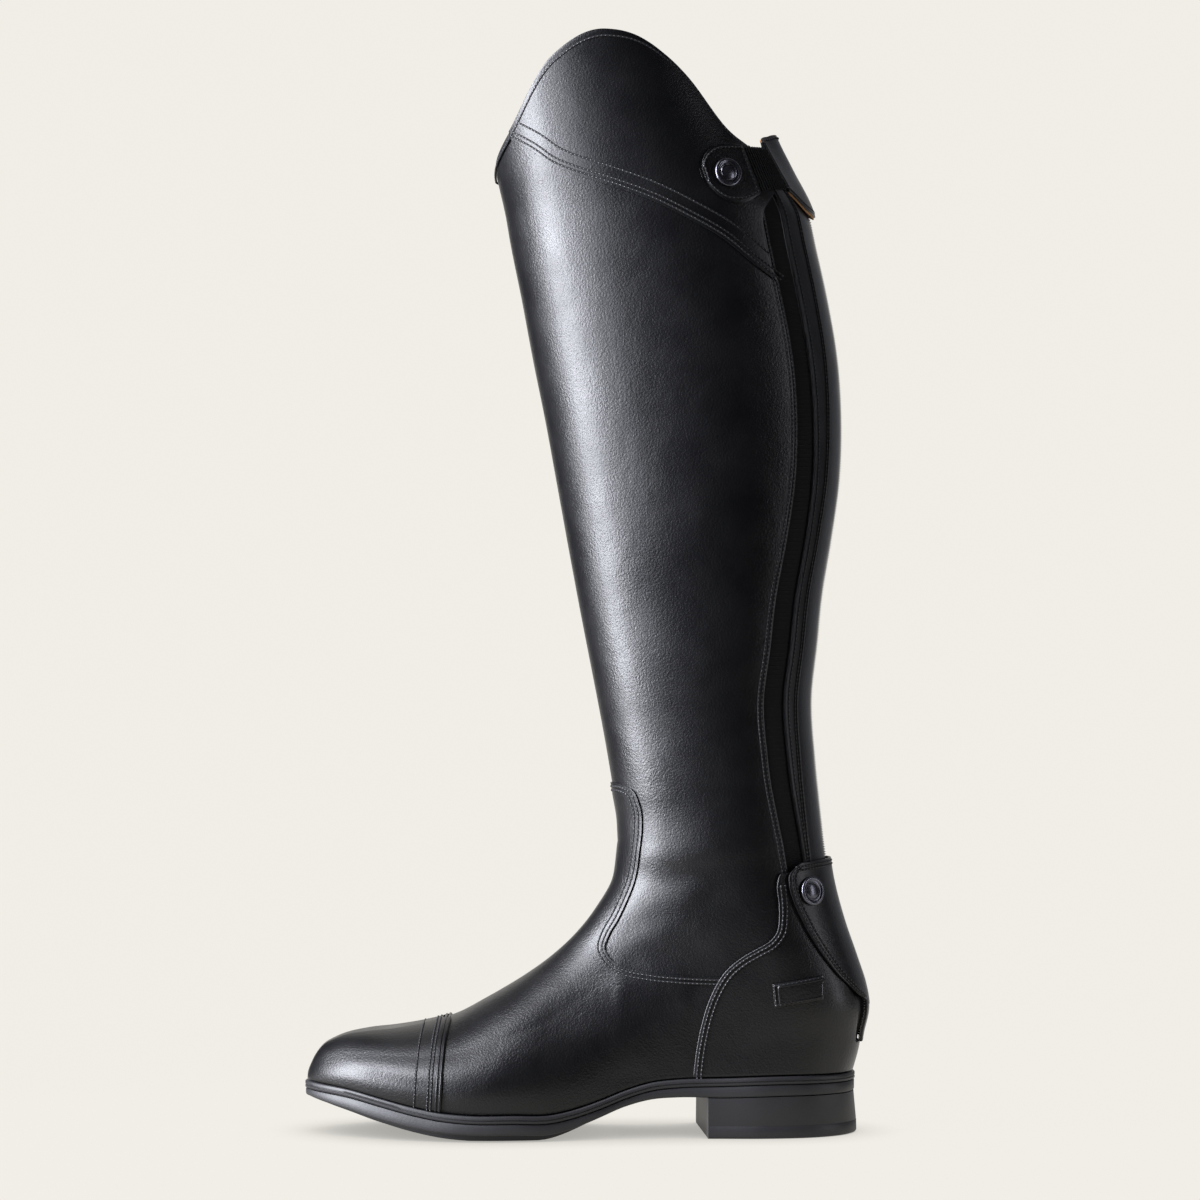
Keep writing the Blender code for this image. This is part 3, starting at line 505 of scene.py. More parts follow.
def leather(name, code, roughness, coat, grain=1.0, cloud=1.0):
    """Dyed calf leather: fine pebble grain, soft clouds in its gloss, and a thin wax finish over it."""
    finish = {"Base Color": linear(code), "IOR": 1.40, "Coat Weight": coat, "Coat Roughness": 0.2}
    made, tree, shader, at = material(name, finish)
    # Grain drawn at 0.8 mm, a little coarser than real so that it shows at this size
    pebble = add(tree, "ShaderNodeTexVoronoi", {"feature": "SMOOTH_F1", "Scale": 1250.0}, {"Vector": at})
    fine = add(tree, "ShaderNodeTexNoise", {"Scale": 900.0, "Detail": 4.0, "Roughness": 0.6}, {"Vector": at})
    folds = add(tree, "ShaderNodeTexNoise", {"Scale": 42.0, "Detail": 4.0, "Roughness": 0.55}, {"Vector": at})
    clouds = add(tree, "ShaderNodeTexNoise", {"Scale": 16.0, "Detail": 3.0, "Distortion": 0.6}, {"Vector": at})
    below = {}
    for height, depth in (
        (clouds.outputs["Fac"], 0.0010 * cloud),
        (folds.outputs["Fac"], 0.00018 * cloud),
        (pebble.outputs["Distance"], 0.00009 * grain),
        (fine.outputs["Fac"], 0.00013 * grain),
    ):
        skin = add(tree, "ShaderNodeBump", {"Distance": depth}, {"Height": height, **below})
        below = {"Normal": skin.outputs[0]}
    tree.links.new(below["Normal"], shader.inputs["Normal"])
    gloss = add(
        tree,
        "ShaderNodeMapRange",
        {"From Min": 0.3, "From Max": 0.7, "To Min": roughness, "To Max": roughness + 0.10},
        {"Value": folds.outputs["Fac"]},
    )
    tree.links.new(gloss.outputs[0], shader.inputs["Roughness"])
    return made


def solid(name, outer, inner, made_of, keep=None, closed=False, edge=CUT_EDGE):
    """A sheet of leather between two grids of points, its cut edges slightly rounded."""
    rows, columns = outer.shape[:2]
    spans = columns if closed else columns - 1
    keep = np.ones((rows - 1, spans), bool) if keep is None else keep
    under = rows * columns
    faces, rims = [], []
    for i, j in np.argwhere(keep):
        k = (j + 1) % columns
        low, high = int(i * columns), int((i + 1) * columns)
        a, b, c, d = low + int(j), low + int(k), high + int(k), high + int(j)
        faces += [(a, b, c, d), (d + under, c + under, b + under, a + under)]
        for u, v, ti, tj in ((a, b, i - 1, j), (b, c, i, j + 1), (c, d, i + 1, j), (d, a, i, j - 1)):
            tj = tj % spans if closed else tj
            if not (0 <= ti < rows - 1 and 0 <= tj < spans and keep[ti, tj]):
                faces.append((v, u, u + under, v + under))
                rims.append((u, v))
    mesh = bpy.data.meshes.new(name)
    mesh.from_pydata(np.concatenate([outer.reshape(-1, 3), inner.reshape(-1, 3)]).tolist(), [], faces)
    form = bmesh.new()
    form.from_mesh(mesh)
    form.verts.ensure_lookup_table()
    cut = [form.edges.get((form.verts[u], form.verts[v])) for u, v in rims]
    if edge:
        bmesh.ops.bevel(
            form, geom=cut, offset=edge, segments=2, profile=0.5, affect="EDGES", clamp_overlap=True
        )
    bmesh.ops.delete(form, geom=[v for v in form.verts if not v.link_faces], context="VERTS")
    bmesh.ops.dissolve_degenerate(form, edges=form.edges, dist=1e-7)
    bmesh.ops.recalc_face_normals(form, faces=form.faces)
    form.to_mesh(mesh)
    form.free()
    mesh.shade_smooth()
    mesh.set_sharp_from_angle(angle=math.radians(60))
    mesh.materials.append(made_of)
    item = bpy.data.objects.new(name, mesh)
    bpy.context.collection.objects.link(item)
    return item


def fit(item, slot, *nodes):
    """Makes a piece part of the boot, in place of the frame's nodes."""
    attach(item, "root")
    if nodes:
        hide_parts(*nodes)
    return item


def sheet(name, rows, turns, stand, thickness, made_of, keep=None, edge=CUT_EDGE):
    """A sheet laid on the upper, following its creases."""
    rows, turns = np.broadcast_arrays(np.asarray(rows, float), np.asarray(turns, float))
    under = relief(rows, turns) + stand
    outer, inner = surface(rows, turns, under + thickness), surface(rows, turns, under)
    return solid(name, outer, inner, made_of, keep, edge=edge)


def slot_edges(rows):
    """Turns of the two edges of the slit in the back, inner side first."""
    placket, _, gap = opening_at(rows)
    return turn_at(rows, -placket - 2 * CLEARANCE), turn_at(rows, gap + CLEARANCE)


calf = leather("black_calf_leather_waxed", "#08080a", 0.32, 0.05)
SLIT_FOOT = 0.152
SLIT_ROWS = 19
SLIT_SPANS = 15
upper_rows = np.concatenate(
    [np.linspace(0, SLIT_FOOT, SLIT_ROWS + 1), np.linspace(SLIT_FOOT, 1, 72)[1:], np.linspace(1, 3, 92)[1:]]
)
upper_turns = []
for inn, out in zip(*slot_edges(np.maximum(upper_rows, SLIT_FOOT))):
    outside = np.linspace(out, math.pi, 84)
    inside = np.linspace(math.pi, inn + 2 * math.pi, 66)
    upper_turns.append(np.concatenate([np.linspace(inn, out, SLIT_SPANS + 1), outside[1:], inside[1:-1]]))
upper_turns = np.array(upper_turns)
upper_grid = np.repeat(upper_rows[:, None], upper_turns.shape[1], axis=1)
upper_keep = np.ones((len(upper_rows) - 1, upper_turns.shape[1]), bool)
upper_keep[SLIT_ROWS:, :SLIT_SPANS] = False
worn = relief(upper_grid, upper_turns)
upper = solid(
    "upper_leather",
    surface(upper_grid, upper_turns, worn),
    surface(upper_grid, upper_turns, worn - WALL + LINING + GLUE_LINE),
    calf,
    upper_keep,
    closed=True,
)
fit(upper, "leather", "upper")

# Lining
# A thin smooth black leather lining is cemented inside the upper and turned over at the top edge.
lining_leather = leather("black_lining_leather", "#1d1c1c", 0.55, 0.0, grain=0.7, cloud=0.4)
lining_rows = np.clip(upper_grid, 0.01, 2.99)
lining = solid(
    "lining",
    surface(lining_rows, upper_turns, worn - WALL + LINING),
    surface(lining_rows, upper_turns, worn - WALL),
    lining_leather,
    upper_keep,
    closed=True,
    edge=0.0,
)
fit(lining, "leather")

# Vamp
# The vamp covers the foot and runs up the shin as a tongue. Its edge lies over the shaft and is sewn down
# with two rows of thread.
VAMP_THICKNESS = 0.00080
VAMP_SKIVED = 0.0004
VAMP_STAND = 0.00003
VAMP_FOOT = [(-38.0, 30.0), (-36.5, 46.5), (-32.0, 62.0), (-27.5, 72.0)]
VAMP_EDGE = [
    (-30.2, 76.3), (-48.6, 76.9), (-63.7, 78.2), (-74.5, 80.2), (-80.8, 83.6), (-83.8, 89.0),
    (-82.0, 94.6), (-77.2, 103.0), (-71.8, 115.2), (-67.6, 131.0), (-66.3, 146.0), (-67.5, 157.5),
    (-70.6, 164.4), (-76.0, 167.0), (-84.0, 166.6),
]


def turns_along(line_rows, line_turns, rows):
    """The turn of a seam at each row."""
    order = np.argsort(line_rows)
    return np.interp(rows, np.array(line_rows)[order], np.array(line_turns)[order])


def wrap_front(name, rows, starts, columns, thickness, made_of, stand):
    """A sheet from a seam on the outer side round the front to the same seam on the inner side."""
    share = np.linspace(0, 1, columns)
    starts = np.asarray(starts)[:, None]
    turns = starts + (2 * math.pi - 2 * starts) * share
    rows = np.asarray(rows)[:, None] + 0 * turns
    if callable(thickness):
        thickness = thickness(lay(rows, turns))
    return sheet(name, rows, turns, stand, thickness, made_of)


def skived(points):
    """The vamp's thickness, thinned where the counter covers it."""
    covered = ease((points[..., 0] + 0.047) / 0.005) * ease((0.080 - points[..., 2]) / 0.003)
    return VAMP_THICKNESS - VAMP_SKIVED * covered


vamp_line = seam(VAMP_EDGE)
foot_line = seam(VAMP_FOOT)
corner = float(vamp_line[0].min())
vamp_rows = np.concatenate([np.linspace(0.004, corner, 44), np.linspace(corner, vamp_line[0].max(), 90)[1:]])
low_edge = turns_along(*foot_line, vamp_rows)
vamp_starts = np.where(vamp_rows <= corner + 0.002, low_edge, turns_along(*vamp_line, vamp_rows))
vamp = wrap_front("vamp", vamp_rows, vamp_starts, 140, skived, calf, VAMP_STAND)
fit(vamp, "leather")

# Thread
# Bonded black polyester thread, five stitches to the centimetre, sunk a little into the leather. Each stitch
# is a grain of thread laid along the seam, placed by a node tree that runs along the seam's line.
THREAD_STAND = 0.0001
STITCH = {"Pitch": 0.0020, "Length": 0.0015, "Width": 0.00075}
# The bead sunk under each seam is near-black: painted shade for the groove that the thread pulls into the
# leather.
SHADE_BEAD_RADIUS = 0.00055
SHADE_BEAD_DEPTH = 0.00025
# Twisted filament under a bonding of resin: a faint shine broken up by the twist
thread, tree, shader, at = material(
    "black_bonded_thread", {"Base Color": linear("#2a2a2e"), "Roughness": 0.38, "Coat Weight": 0.15}
)
strands = add(tree, "ShaderNodeTexNoise", {"Scale": 2400.0, "Detail": 2.0}, {"Vector": at})
twist = add(tree, "ShaderNodeBump", {"Distance": 0.00008}, {"Height": strands.outputs["Fac"]})
tree.links.new(twist.outputs[0], shader.inputs["Normal"])


def new_tree(name, numbers):
    """An empty geometry node tree with its named inputs; gives the tree and its input node."""
    tree = bpy.data.node_groups.new(name, "GeometryNodeTree")
    tree.interface.new_socket("Line", in_out="INPUT", socket_type="NodeSocketGeometry")
    for label, value in numbers.items():
        tree.interface.new_socket(label, in_out="INPUT", socket_type="NodeSocketFloat").default_value = value
    tree.interface.new_socket("Material", in_out="INPUT", socket_type="NodeSocketMaterial")
    tree.interface.new_socket("Result", in_out="OUTPUT", socket_type="NodeSocketGeometry")
    return tree, add(tree, "NodeGroupInput")


def close_tree(tree, given, geometry):
    """Ends a tree with smooth shading, realized instances and its material."""
    real = add(tree, "GeometryNodeRealizeInstances", links={"Geometry": geometry})
    soft = add(tree, "GeometryNodeSetShadeSmooth", links={"Geometry": real.outputs[0]})
    look = {0: soft.outputs[0], "Material": given.outputs["Material"]}
    inked = add(tree, "GeometryNodeSetMaterial", links=look)
    add(tree, "NodeGroupOutput", links={0: inked.outputs[0]})
    return tree


def stitch_tree():
    """Grains of thread laid end to end along each line, upright on the leather."""
    tree, given = new_tree("stitches", STITCH)
    curve = add(tree, "GeometryNodeMeshToCurve", links={"Mesh": given.outputs["Line"]})
    spacing = {"Curve": curve.outputs[0], "Length": given.outputs["Pitch"]}
    even = add(tree, "GeometryNodeResampleCurve", {"mode": "LENGTH"}, spacing)
    spots = add(tree, "GeometryNodeCurveToPoints", {"mode": "EVALUATED"}, {"Curve": even.outputs[0]})
    up = add(tree, "GeometryNodeInputNamedAttribute", {"data_type": "FLOAT_VECTOR", "Name": "up"})
    along = add(tree, "FunctionNodeAlignRotationToVector", {"axis": "X"}, {"Vector": spots.outputs["Tangent"]})
    upright = add(
        tree,
        "FunctionNodeAlignRotationToVector",
        {"axis": "Z", "pivot_axis": "X"},
        {"Rotation": along.outputs[0], "Vector": up.outputs["Attribute"]},
    )
    grain = add(tree, "GeometryNodeMeshUVSphere", {"Segments": 6, "Rings": 5, "Radius": 0.5})
    size = add(tree, "ShaderNodeCombineXYZ", links={"X": given.outputs["Length"]})
    for side in ("Y", "Z"):
        tree.links.new(given.outputs["Width"], size.inputs[side])
    laid = add(
        tree,
        "GeometryNodeInstanceOnPoints",
        links={
            "Points": spots.outputs["Points"],
            "Instance": grain.outputs["Mesh"],
            "Rotation": upright.outputs[0],
            "Scale": size.outputs[0],
        },
    )
    return close_tree(tree, given, laid.outputs[0])


stitches = stitch_tree()


def grow(name, tree, lines, numbers, made_of):
    """Runs a tree along lines of points and normals and keeps the result as a plain mesh."""
    points, ups, edges = [], [], []
    for places_on, normals in lines:
        edges += [(len(points) + i, len(points) + i + 1) for i in range(len(places_on) - 1)]
        points += [tuple(p) for p in places_on]
        ups += [tuple(n) for n in normals]
    mesh = bpy.data.meshes.new(name)
    mesh.from_pydata(points, edges, [])
    upward = mesh.attributes.new("up", "FLOAT_VECTOR", "POINT")
    upward.data.foreach_set("vector", np.array(ups, float).ravel())
    item = bpy.data.objects.new(name, mesh)
    bpy.context.collection.objects.link(item)
    run = item.modifiers.new(name, "NODES")
    run.node_group = tree
    sockets = {s.name: s.identifier for s in tree.interface.items_tree if s.in_out == "INPUT"}
    for label, value in {**numbers, "Material": made_of}.items():
        run[sockets[label]] = value
    bpy.context.view_layer.update()
    made = bpy.data.meshes.new_from_object(item.evaluated_get(bpy.context.evaluated_depsgraph_get()))
    item.modifiers.remove(run)
    item.data = made
    if not made.materials:
        made.materials.append(made_of)
    return item


def on_surface(rows, turns, stand):
    """Points and normals of a line laid on the upper."""
    lift = relief(rows, turns) + stand
    low, high = surface(rows, turns, lift), surface(rows, turns, lift + 0.001)
    return low, (high - low) * 1000


def both_sides(rows, turns, stand):
    """A line and its mirror on the inner side."""
    return [on_surface(rows, turns, stand), on_surface(rows, -turns, stand)]


def bead_tree():
    """A round cord of a given radius along each line."""
    tree, given = new_tree("bead", {"Radius": 0.0006})
    curve = add(tree, "GeometryNodeMeshToCurve", links={"Mesh": given.outputs["Line"]})
    radius = {"Radius": given.outputs["Radius"]}
    ring = add(tree, "GeometryNodeCurvePrimitiveCircle", {"Resolution": 8}, radius)
    path = {"Curve": curve.outputs[0], "Profile Curve": ring.outputs[0]}
    cord = add(tree, "GeometryNodeCurveToMesh", {"Fill Caps": True}, path)
    return close_tree(tree, given, cord.outputs[0])


beads = bead_tree()
# Near-black leather for the beads under the seams: painted shade of the seam grooves.
seam_shade_leather = leather("black_leather_painted_seam_shade", "#020203", 0.75, 0.0, grain=0.5, cloud=0.2)


def sew(name, lines, slot="leather"):
    """A seam: stitches lying on a sunk bead of near-black leather, which is painted shade for the seam's
    groove.
    """
    shade_lines = [(spots - normals * SHADE_BEAD_DEPTH, normals) for spots, normals in lines]
    shade_beads = grow(name.replace("stitches", "shade_beads"), beads, shade_lines, {"Radius": SHADE_BEAD_RADIUS}, seam_shade_leather)
    fit(shade_beads, slot)
    fit(grow(name, stitches, lines, STITCH, thread), slot)


vamp_top = VAMP_THICKNESS + 0.8 * THREAD_STAND
vamp_stitches = []
for inset in (1.5, 3.4):
    line = seam(VAMP_EDGE, inset)
    vamp_stitches += both_sides(*line, vamp_top)
sew("vamp_stitches", vamp_stitches)

# Toe cap
# A plain leather cap is lasted over the toe, its back edge folded to a doubled bead and sewn with two rows,
# with one more row for show in front of them.
CAP_STAND = 0.0009
CAP_THICKNESS = 0.0009
CAP_TOP_ROW = 0.352
CAP_BACK = -0.1572
CAP_LEAN = 0.0036
overlay_calf = leather("black_calf_leather_polished", "#070709", 0.33, 0.08, grain=0.9, cloud=0.6)
cap_rows = np.linspace(0.006, CAP_TOP_ROW, 52)
cap_span = lay(cap_rows[:, None], np.array([[0.0, math.pi]]))[..., 0]
cap_back = CAP_BACK - CAP_LEAN * np.clip((CAP_TOP_ROW - cap_rows) / 0.35, 0, 1)
cap_starts = np.arccos(1 - 2 * (cap_span[:, 0] - cap_back) / (cap_span[:, 0] - cap_span[:, 1]))
toe_cap = wrap_front("toe_cap_leather", cap_rows, cap_starts, 100, CAP_THICKNESS, overlay_calf, CAP_STAND)
fit(toe_cap, "leather", "toe_cap")


def cap_line(back, stand):
    """A line over the toe cap this far in front of its back edge, from one side to the other."""
    share = (cap_span[:, 0] - cap_back + back) / (cap_span[:, 0] - cap_span[:, 1])
    crossed = share < 1
    turns = np.arccos(1 - 2 * share[crossed])
    turns = np.concatenate([turns, 2 * math.pi - turns[::-1]])
    rows = np.concatenate([cap_rows[crossed], cap_rows[crossed][::-1]])
    return on_surface(rows, turns, stand)


cap_top = CAP_STAND + CAP_THICKNESS
ridge_lines = [cap_line(back, cap_top - THREAD_STAND) for back in (0.0007, 0.0024)]
fit(grow("toe_cap_bead", beads, ridge_lines, {"Radius": 0.0006}, overlay_calf), "leather")
sew("toe_cap_stitches", [cap_line(back, cap_top + THREAD_STAND) for back in (0.0048, 0.0064, 0.0125)])

# Dress top panel
# A second layer shapes the high curved top on the outer side, its scooped lower edge sewn with two rows and
# traced by a third.
PANEL_THICKNESS = 0.0009
PANEL_LOW = [
    (-128.1, 472.4), (-118.5, 466.5), (-109.4, 459.6), (-96.0, 453.6), (-81.7, 448.7), (-62.6, 441.5),
    (-44.8, 432.7), (-29.3, 424.0), (-12.7, 410.8), (-3.1, 404.1),
]
PANEL_REAR = [
    (-3.1, 404.1), (-7.6, 416.0), (-9.6, 427.0), (-9.8, 437.0), (-5.4, 445.0), (-1.5, 452.0),
    (-7.0, 466.0),
]


def even(line, count):
    """The same line in evenly spaced steps of rows and turns."""
    line = np.array(line)
    run = np.concatenate([[0], np.cumsum(np.hypot(*np.diff(line, axis=1)))])
    at = np.linspace(0, run[-1], count)
    return np.stack([np.interp(at, run, line[0]), np.interp(at, run, line[1])])


def between_edges(low, high, left, right, columns, rows):
    """Rows and turns inside four edges: low and high run from left to right, left and right upward."""
    low, high, left, right = even(low, columns), even(high, columns), even(left, rows), even(right, rows)
    u, v = np.linspace(0, 1, columns)[None, None, :], np.linspace(0, 1, rows)[None, :, None]
    sides = (1 - u) * left[:, :, None] + u * right[:, :, None]
    ends = (1 - v) * low[:, None, :] + v * high[:, None, :]
    corners = (1 - u) * ((1 - v) * low[:, :1, None] + v * high[:, :1, None])
    corners = corners + u * ((1 - v) * low[:, -1:, None] + v * high[:, -1:, None])
    return sides + ends - corners


PANEL_TOP = 2.992
panel_low = np.array(seam(PANEL_LOW))
panel_rear = np.array(seam(PANEL_REAR))
panel_rear[0] = np.minimum(panel_rear[0], 2.985)
panel_low[:, -1] = panel_rear[:, 0]
front_turn = panel_low[1, 0]
panel_high = np.array([np.full(60, PANEL_TOP), np.linspace(front_turn, panel_rear[1, -1], 60)])
panel_rear[0, -1] = PANEL_TOP
panel_front = np.array([np.linspace(panel_low[0, 0], PANEL_TOP, 5), np.full(5, front_turn)])
panel_grid = between_edges(panel_low, panel_high, panel_front, panel_rear, 120, 50)
panel = sheet("dress_top_panel", *panel_grid, VAMP_STAND, PANEL_THICKNESS, overlay_calf)
fit(panel, "leather")
panel_lines = []
for line, inset in ((PANEL_LOW, 1.6), (PANEL_LOW, 3.6), (PANEL_LOW[:-1], 8.4)):
    rows, turns = seam(line, inset)
    kept = rows < 2.97
    panel_lines.append(on_surface(rows[kept], turns[kept], PANEL_THICKNESS + THREAD_STAND))
sew("dress_top_stitches", panel_lines)

# Edge binding
# A narrow leather strip is folded over the top edge and sewn down.
BINDING_ROW = 2.978
BINDING_RADIUS = 0.00120
SEAM_DROP = 0.0034
edge_start, edge_end = upper_turns[-1][SLIT_SPANS], upper_turns[-1][0] + 2 * math.pi
edge_turns = np.concatenate([np.linspace(edge_start, math.pi, 160), np.linspace(math.pi, edge_end, 130)[1:]])
binding_line = [on_surface(np.full(len(edge_turns), BINDING_ROW), edge_turns, -WALL / 2)]
binding_leather = leather("black_binding_leather", "#050506", 0.55, 0.0, grain=0.6, cloud=0.3)
fit(grow("edge_binding", beads, binding_line, {"Radius": BINDING_RADIUS}, binding_leather), "leather")
edge_rows = 3.0 - SEAM_DROP / (top_z(edge_turns) - BAND_HEIGHT)
sew("top_edge_stitches", [on_surface(edge_rows, edge_turns, PANEL_THICKNESS + THREAD_STAND)])

# Heel counter
# A leather counter is lasted round the heel and sewn over the vamp and shaft, open at the back above the seat
# so that the zip can run down into it.
OVERLAY_STAND = 0.0006
OVERLAY = 0.0009
COUNTER_LINE = [
    (-42.6, 27.0), (-41.6, 37.0), (-40.1, 46.5), (-38.2, 55.0), (-35.4, 64.0), (-31.8, 72.0),
    (-26.8, 79.5), (-19.3, 85.9), (-12.0, 90.2), (-6.0, 93.8), (-3.0, 98.0), (-2.2, 104.0),
    (-2.4, 112.0), (-3.2, 119.0), (-1.6, 125.2), (3.5, 128.7),
]
COUNTER_FOOT = 0.133
COUNTER_TOP = 0.893
FOOT_ROWS = 11
SIDE_COLUMNS = 36
GAP_COLUMNS = 16
counter_line = seam(COUNTER_LINE)
counter_rows = np.concatenate(
    [np.linspace(0.004, COUNTER_FOOT, FOOT_ROWS + 1), np.linspace(COUNTER_FOOT, COUNTER_TOP, 78)[1:]]
)
counter_gap = opening_at(np.maximum(counter_rows, COUNTER_FOOT))[1] + 2 * CLEARANCE
counter_edges = turn_at(counter_rows, np.stack([-counter_gap, counter_gap], axis=1))
counter_turns = []
for (inn, out), front in zip(counter_edges, turns_along(*counter_line, counter_rows)):
    front = max(front, out + 0.02)
    inner_side, outer_side = np.linspace(-front, inn, SIDE_COLUMNS), np.linspace(out, front, SIDE_COLUMNS)
    counter_turns.append(np.concatenate([inner_side, np.linspace(inn, out, GAP_COLUMNS)[1:-1], outer_side]))
counter_turns = np.array(counter_turns)
counter_keep = np.ones((len(counter_rows) - 1, counter_turns.shape[1] - 1), bool)
counter_keep[FOOT_ROWS:, SIDE_COLUMNS - 1 : SIDE_COLUMNS + GAP_COLUMNS - 2] = False
counter_grid = (counter_rows[:, None], counter_turns)
counter = sheet(
    "heel_counter_leather", *counter_grid, OVERLAY_STAND, OVERLAY, overlay_calf, counter_keep, edge=0.0004
)
fit(counter, "leather", "heel_counter")
counter_stitches = []
for inset in (-1.7, -3.7):
    line = seam(COUNTER_LINE[:-2], inset)
    counter_stitches += both_sides(*line, OVERLAY_STAND + OVERLAY + THREAD_STAND)
sew("counter_stitches", counter_stitches)

# Spur rest
# A stitched leather patch on the outer side of the counter, with a raised bar that keeps a spur up.
REST_BASE = OVERLAY_STAND + OVERLAY + CLEARANCE
REST_THICKNESS = 0.0009
BAR_THICKNESS = 0.0016
REST_OUTLINE = [(-5.0, 73.4), (-4.1, 62.5), (18.5, 65.8), (18.5, 76.7)]
BAR_OUTLINE = [(-2.2, 72.4), (-1.6, 64.6), (17.3, 67.2), (17.4, 75.2)]


def quad(corners, columns, rows):
    """Rows and turns inside four corners of the side view: top left, bottom left, bottom right, top right."""
    corners = np.array(corners, float)
    u, v = np.linspace(0, 1, columns)[None, :, None], np.linspace(0, 1, rows)[:, None, None]
    left, right = corners[1] + v * (corners[0] - corners[1]), corners[2] + v * (corners[3] - corners[2])
    spots = (left + u * (right - left)).reshape(-1, 2)
    found_rows, found_turns = places(spots[:, 0] / 1000, spots[:, 1] / 1000)
    return found_rows.reshape(rows, columns), found_turns.reshape(rows, columns)


rest_grid = quad(REST_OUTLINE, 24, 12)
rest = sheet("spur_rest_patch", *rest_grid, REST_BASE, REST_THICKNESS, overlay_calf, edge=0.0003)
fit(rest, "leather", "spur_rest")
bar_rows, bar_turns = quad(BAR_OUTLINE, 24, 12)
bar_stand = REST_BASE + REST_THICKNESS
bar = sheet("spur_rest_bar", bar_rows, bar_turns, bar_stand, BAR_THICKNESS, overlay_calf, edge=0.0005)
fit(bar, "leather")
rim_rows, rim_turns = [
    np.concatenate([grid[0], grid[:, -1], grid[-1][::-1], grid[::-1, 0]]) for grid in (bar_rows, bar_turns)
]
bar_rim = [on_surface(rim_rows, rim_turns, bar_stand + BAR_THICKNESS - THREAD_STAND)]
fit(grow("spur_rest_rim", beads, bar_rim, {"Radius": 0.0006}, overlay_calf), "leather")
border = np.array(REST_OUTLINE) + 0.9 * np.sign(np.mean(REST_OUTLINE, axis=0) - np.array(REST_OUTLINE))
rest_lines = []
for a, b in ((0, 1), (1, 2), (2, 3), (3, 0)):
    spots = border[a] + np.linspace(0, 1, 16)[:, None] * (border[b] - border[a])
    rest_lines.append(on_surface(*places(spots[:, 0] / 1000, spots[:, 1] / 1000), bar_stand + THREAD_STAND))
sew("spur_rest_stitches", rest_lines)

# Zip
# A closed coil zip runs down the back from the top edge into the heel: two woven tapes and two rows of black
# coils.
ZIP_HALF = 0.0080
ZIP_FOOT = SLIT_FOOT + 0.004
TAPE_STAND = -0.0016
TAPE_THICKNESS = 0.0007
COIL = {"Pitch": 0.0012, "Length": 0.0009, "Width": 0.0026}
COIL_GIRTH = 0.0012
COIL_STAND = -0.0004
# Woven polyester tape: a fine diagonal weave, dull with a little fuzz
tape_weave, tree, shader, at = material(
    "black_woven_zip_tape", {"Base Color": linear("#151516"), "Roughness": 0.8, "Sheen Weight": 0.15}
)
diagonal = {"wave_type": "BANDS", "bands_direction": "DIAGONAL", "Scale": 420.0, "Distortion": 0.6}
weave = add(tree, "ShaderNodeTexWave", diagonal, {"Vector": at})
yarns = add(tree, "ShaderNodeBump", {"Distance": 0.00012}, {"Height": weave.outputs["Fac"]})
tree.links.new(yarns.outputs[0], shader.inputs["Normal"])
zip_rows = np.concatenate([np.linspace(ZIP_FOOT, 1, 60), np.linspace(1, 2.985, 90)[1:]])


def upright(name, rows, starts, ends, columns, stand, thickness, made_of, edge=CUT_EDGE):
    """A strip up the back between two girths, fixed or given for each row."""
    turns = turn_at(rows, np.linspace(starts + 0 * rows, ends + 0 * rows, columns, axis=1))
    return sheet(name, rows[:, None], turns, stand, thickness, made_of, edge=edge)


tape = upright("zip_tape", zip_rows, -ZIP_HALF, ZIP_HALF, 11, TAPE_STAND, TAPE_THICKNESS, tape_weave)
fit(tape, "zip_metal", "zip")
# Moulded nylon: a smooth sheen that shifts a little from coil to coil
coil_plastic, tree, shader, at = material("black_moulded_nylon_coil", {"Base Color": linear("#0e0e10")})
haze = add(tree, "ShaderNodeTexNoise", {"Scale": 300.0}, {"Vector": at})
gloss = add(tree, "ShaderNodeMapRange", {"To Min": 0.28, "To Max": 0.42}, {"Value": haze.outputs["Fac"]})
tree.links.new(gloss.outputs[0], shader.inputs["Roughness"])


def girth_line(rows, girths, stand):
    """A line up the back at one girth, or at one for each row."""
    return on_surface(rows, turn_at(rows, girths + 0 * rows), stand)


coils = [girth_line(zip_rows, girth, COIL_STAND) for girth in (-COIL_GIRTH, COIL_GIRTH)]
fit(grow("zip_coils", stitches, coils, COIL, coil_plastic), "zip_metal")

# Zip plackets and strips
# Smooth leather strips edge the zip on both sides; on the outer side a second strip, sewn along both edges,
# carries the elastic.
PLACKET_STAND = -0.0007
PLACKET_THICKNESS = 0.0010
PLACKET_START = ZIP_HALF - 0.0045
STRIP_STAND = -0.0004
STRIP_THICKNESS = 0.0013
STRIP_SEAMS_FROM = 0.60
placket_ends, strip_edges, slot_ends = opening_at(zip_rows)
placket_ends = np.maximum(ZIP_HALF + CLEARANCE + 0.001, placket_ends)
for name, node, starts, ends in (
    ("zip_placket_leather", "zip_placket", PLACKET_START, placket_ends),
    ("zip_strip_inner_leather", "zip_strip_inner", -placket_ends, -PLACKET_START),
):
    placket = upright(name, zip_rows, starts, ends, 12, PLACKET_STAND, PLACKET_THICKNESS, overlay_calf)
    fit(placket, "leather", node)
stripped = strip_edges > PLACKET_EDGE + 0.0015
strip_rows, strip_ends = zip_rows[stripped], strip_edges[stripped]
strip_start = PLACKET_EDGE + CLEARANCE
strip_sizes = (12, STRIP_STAND, STRIP_THICKNESS, overlay_calf, 0.0003)
outer_strip = upright("zip_strip_outer_leather", strip_rows, strip_start, strip_ends, *strip_sizes)
fit(outer_strip, "leather", "zip_strip_outer")
folds = [girth_line(strip_rows, girths, 0.0006) for girths in (strip_start + 0.0004, strip_ends - 0.0005)]
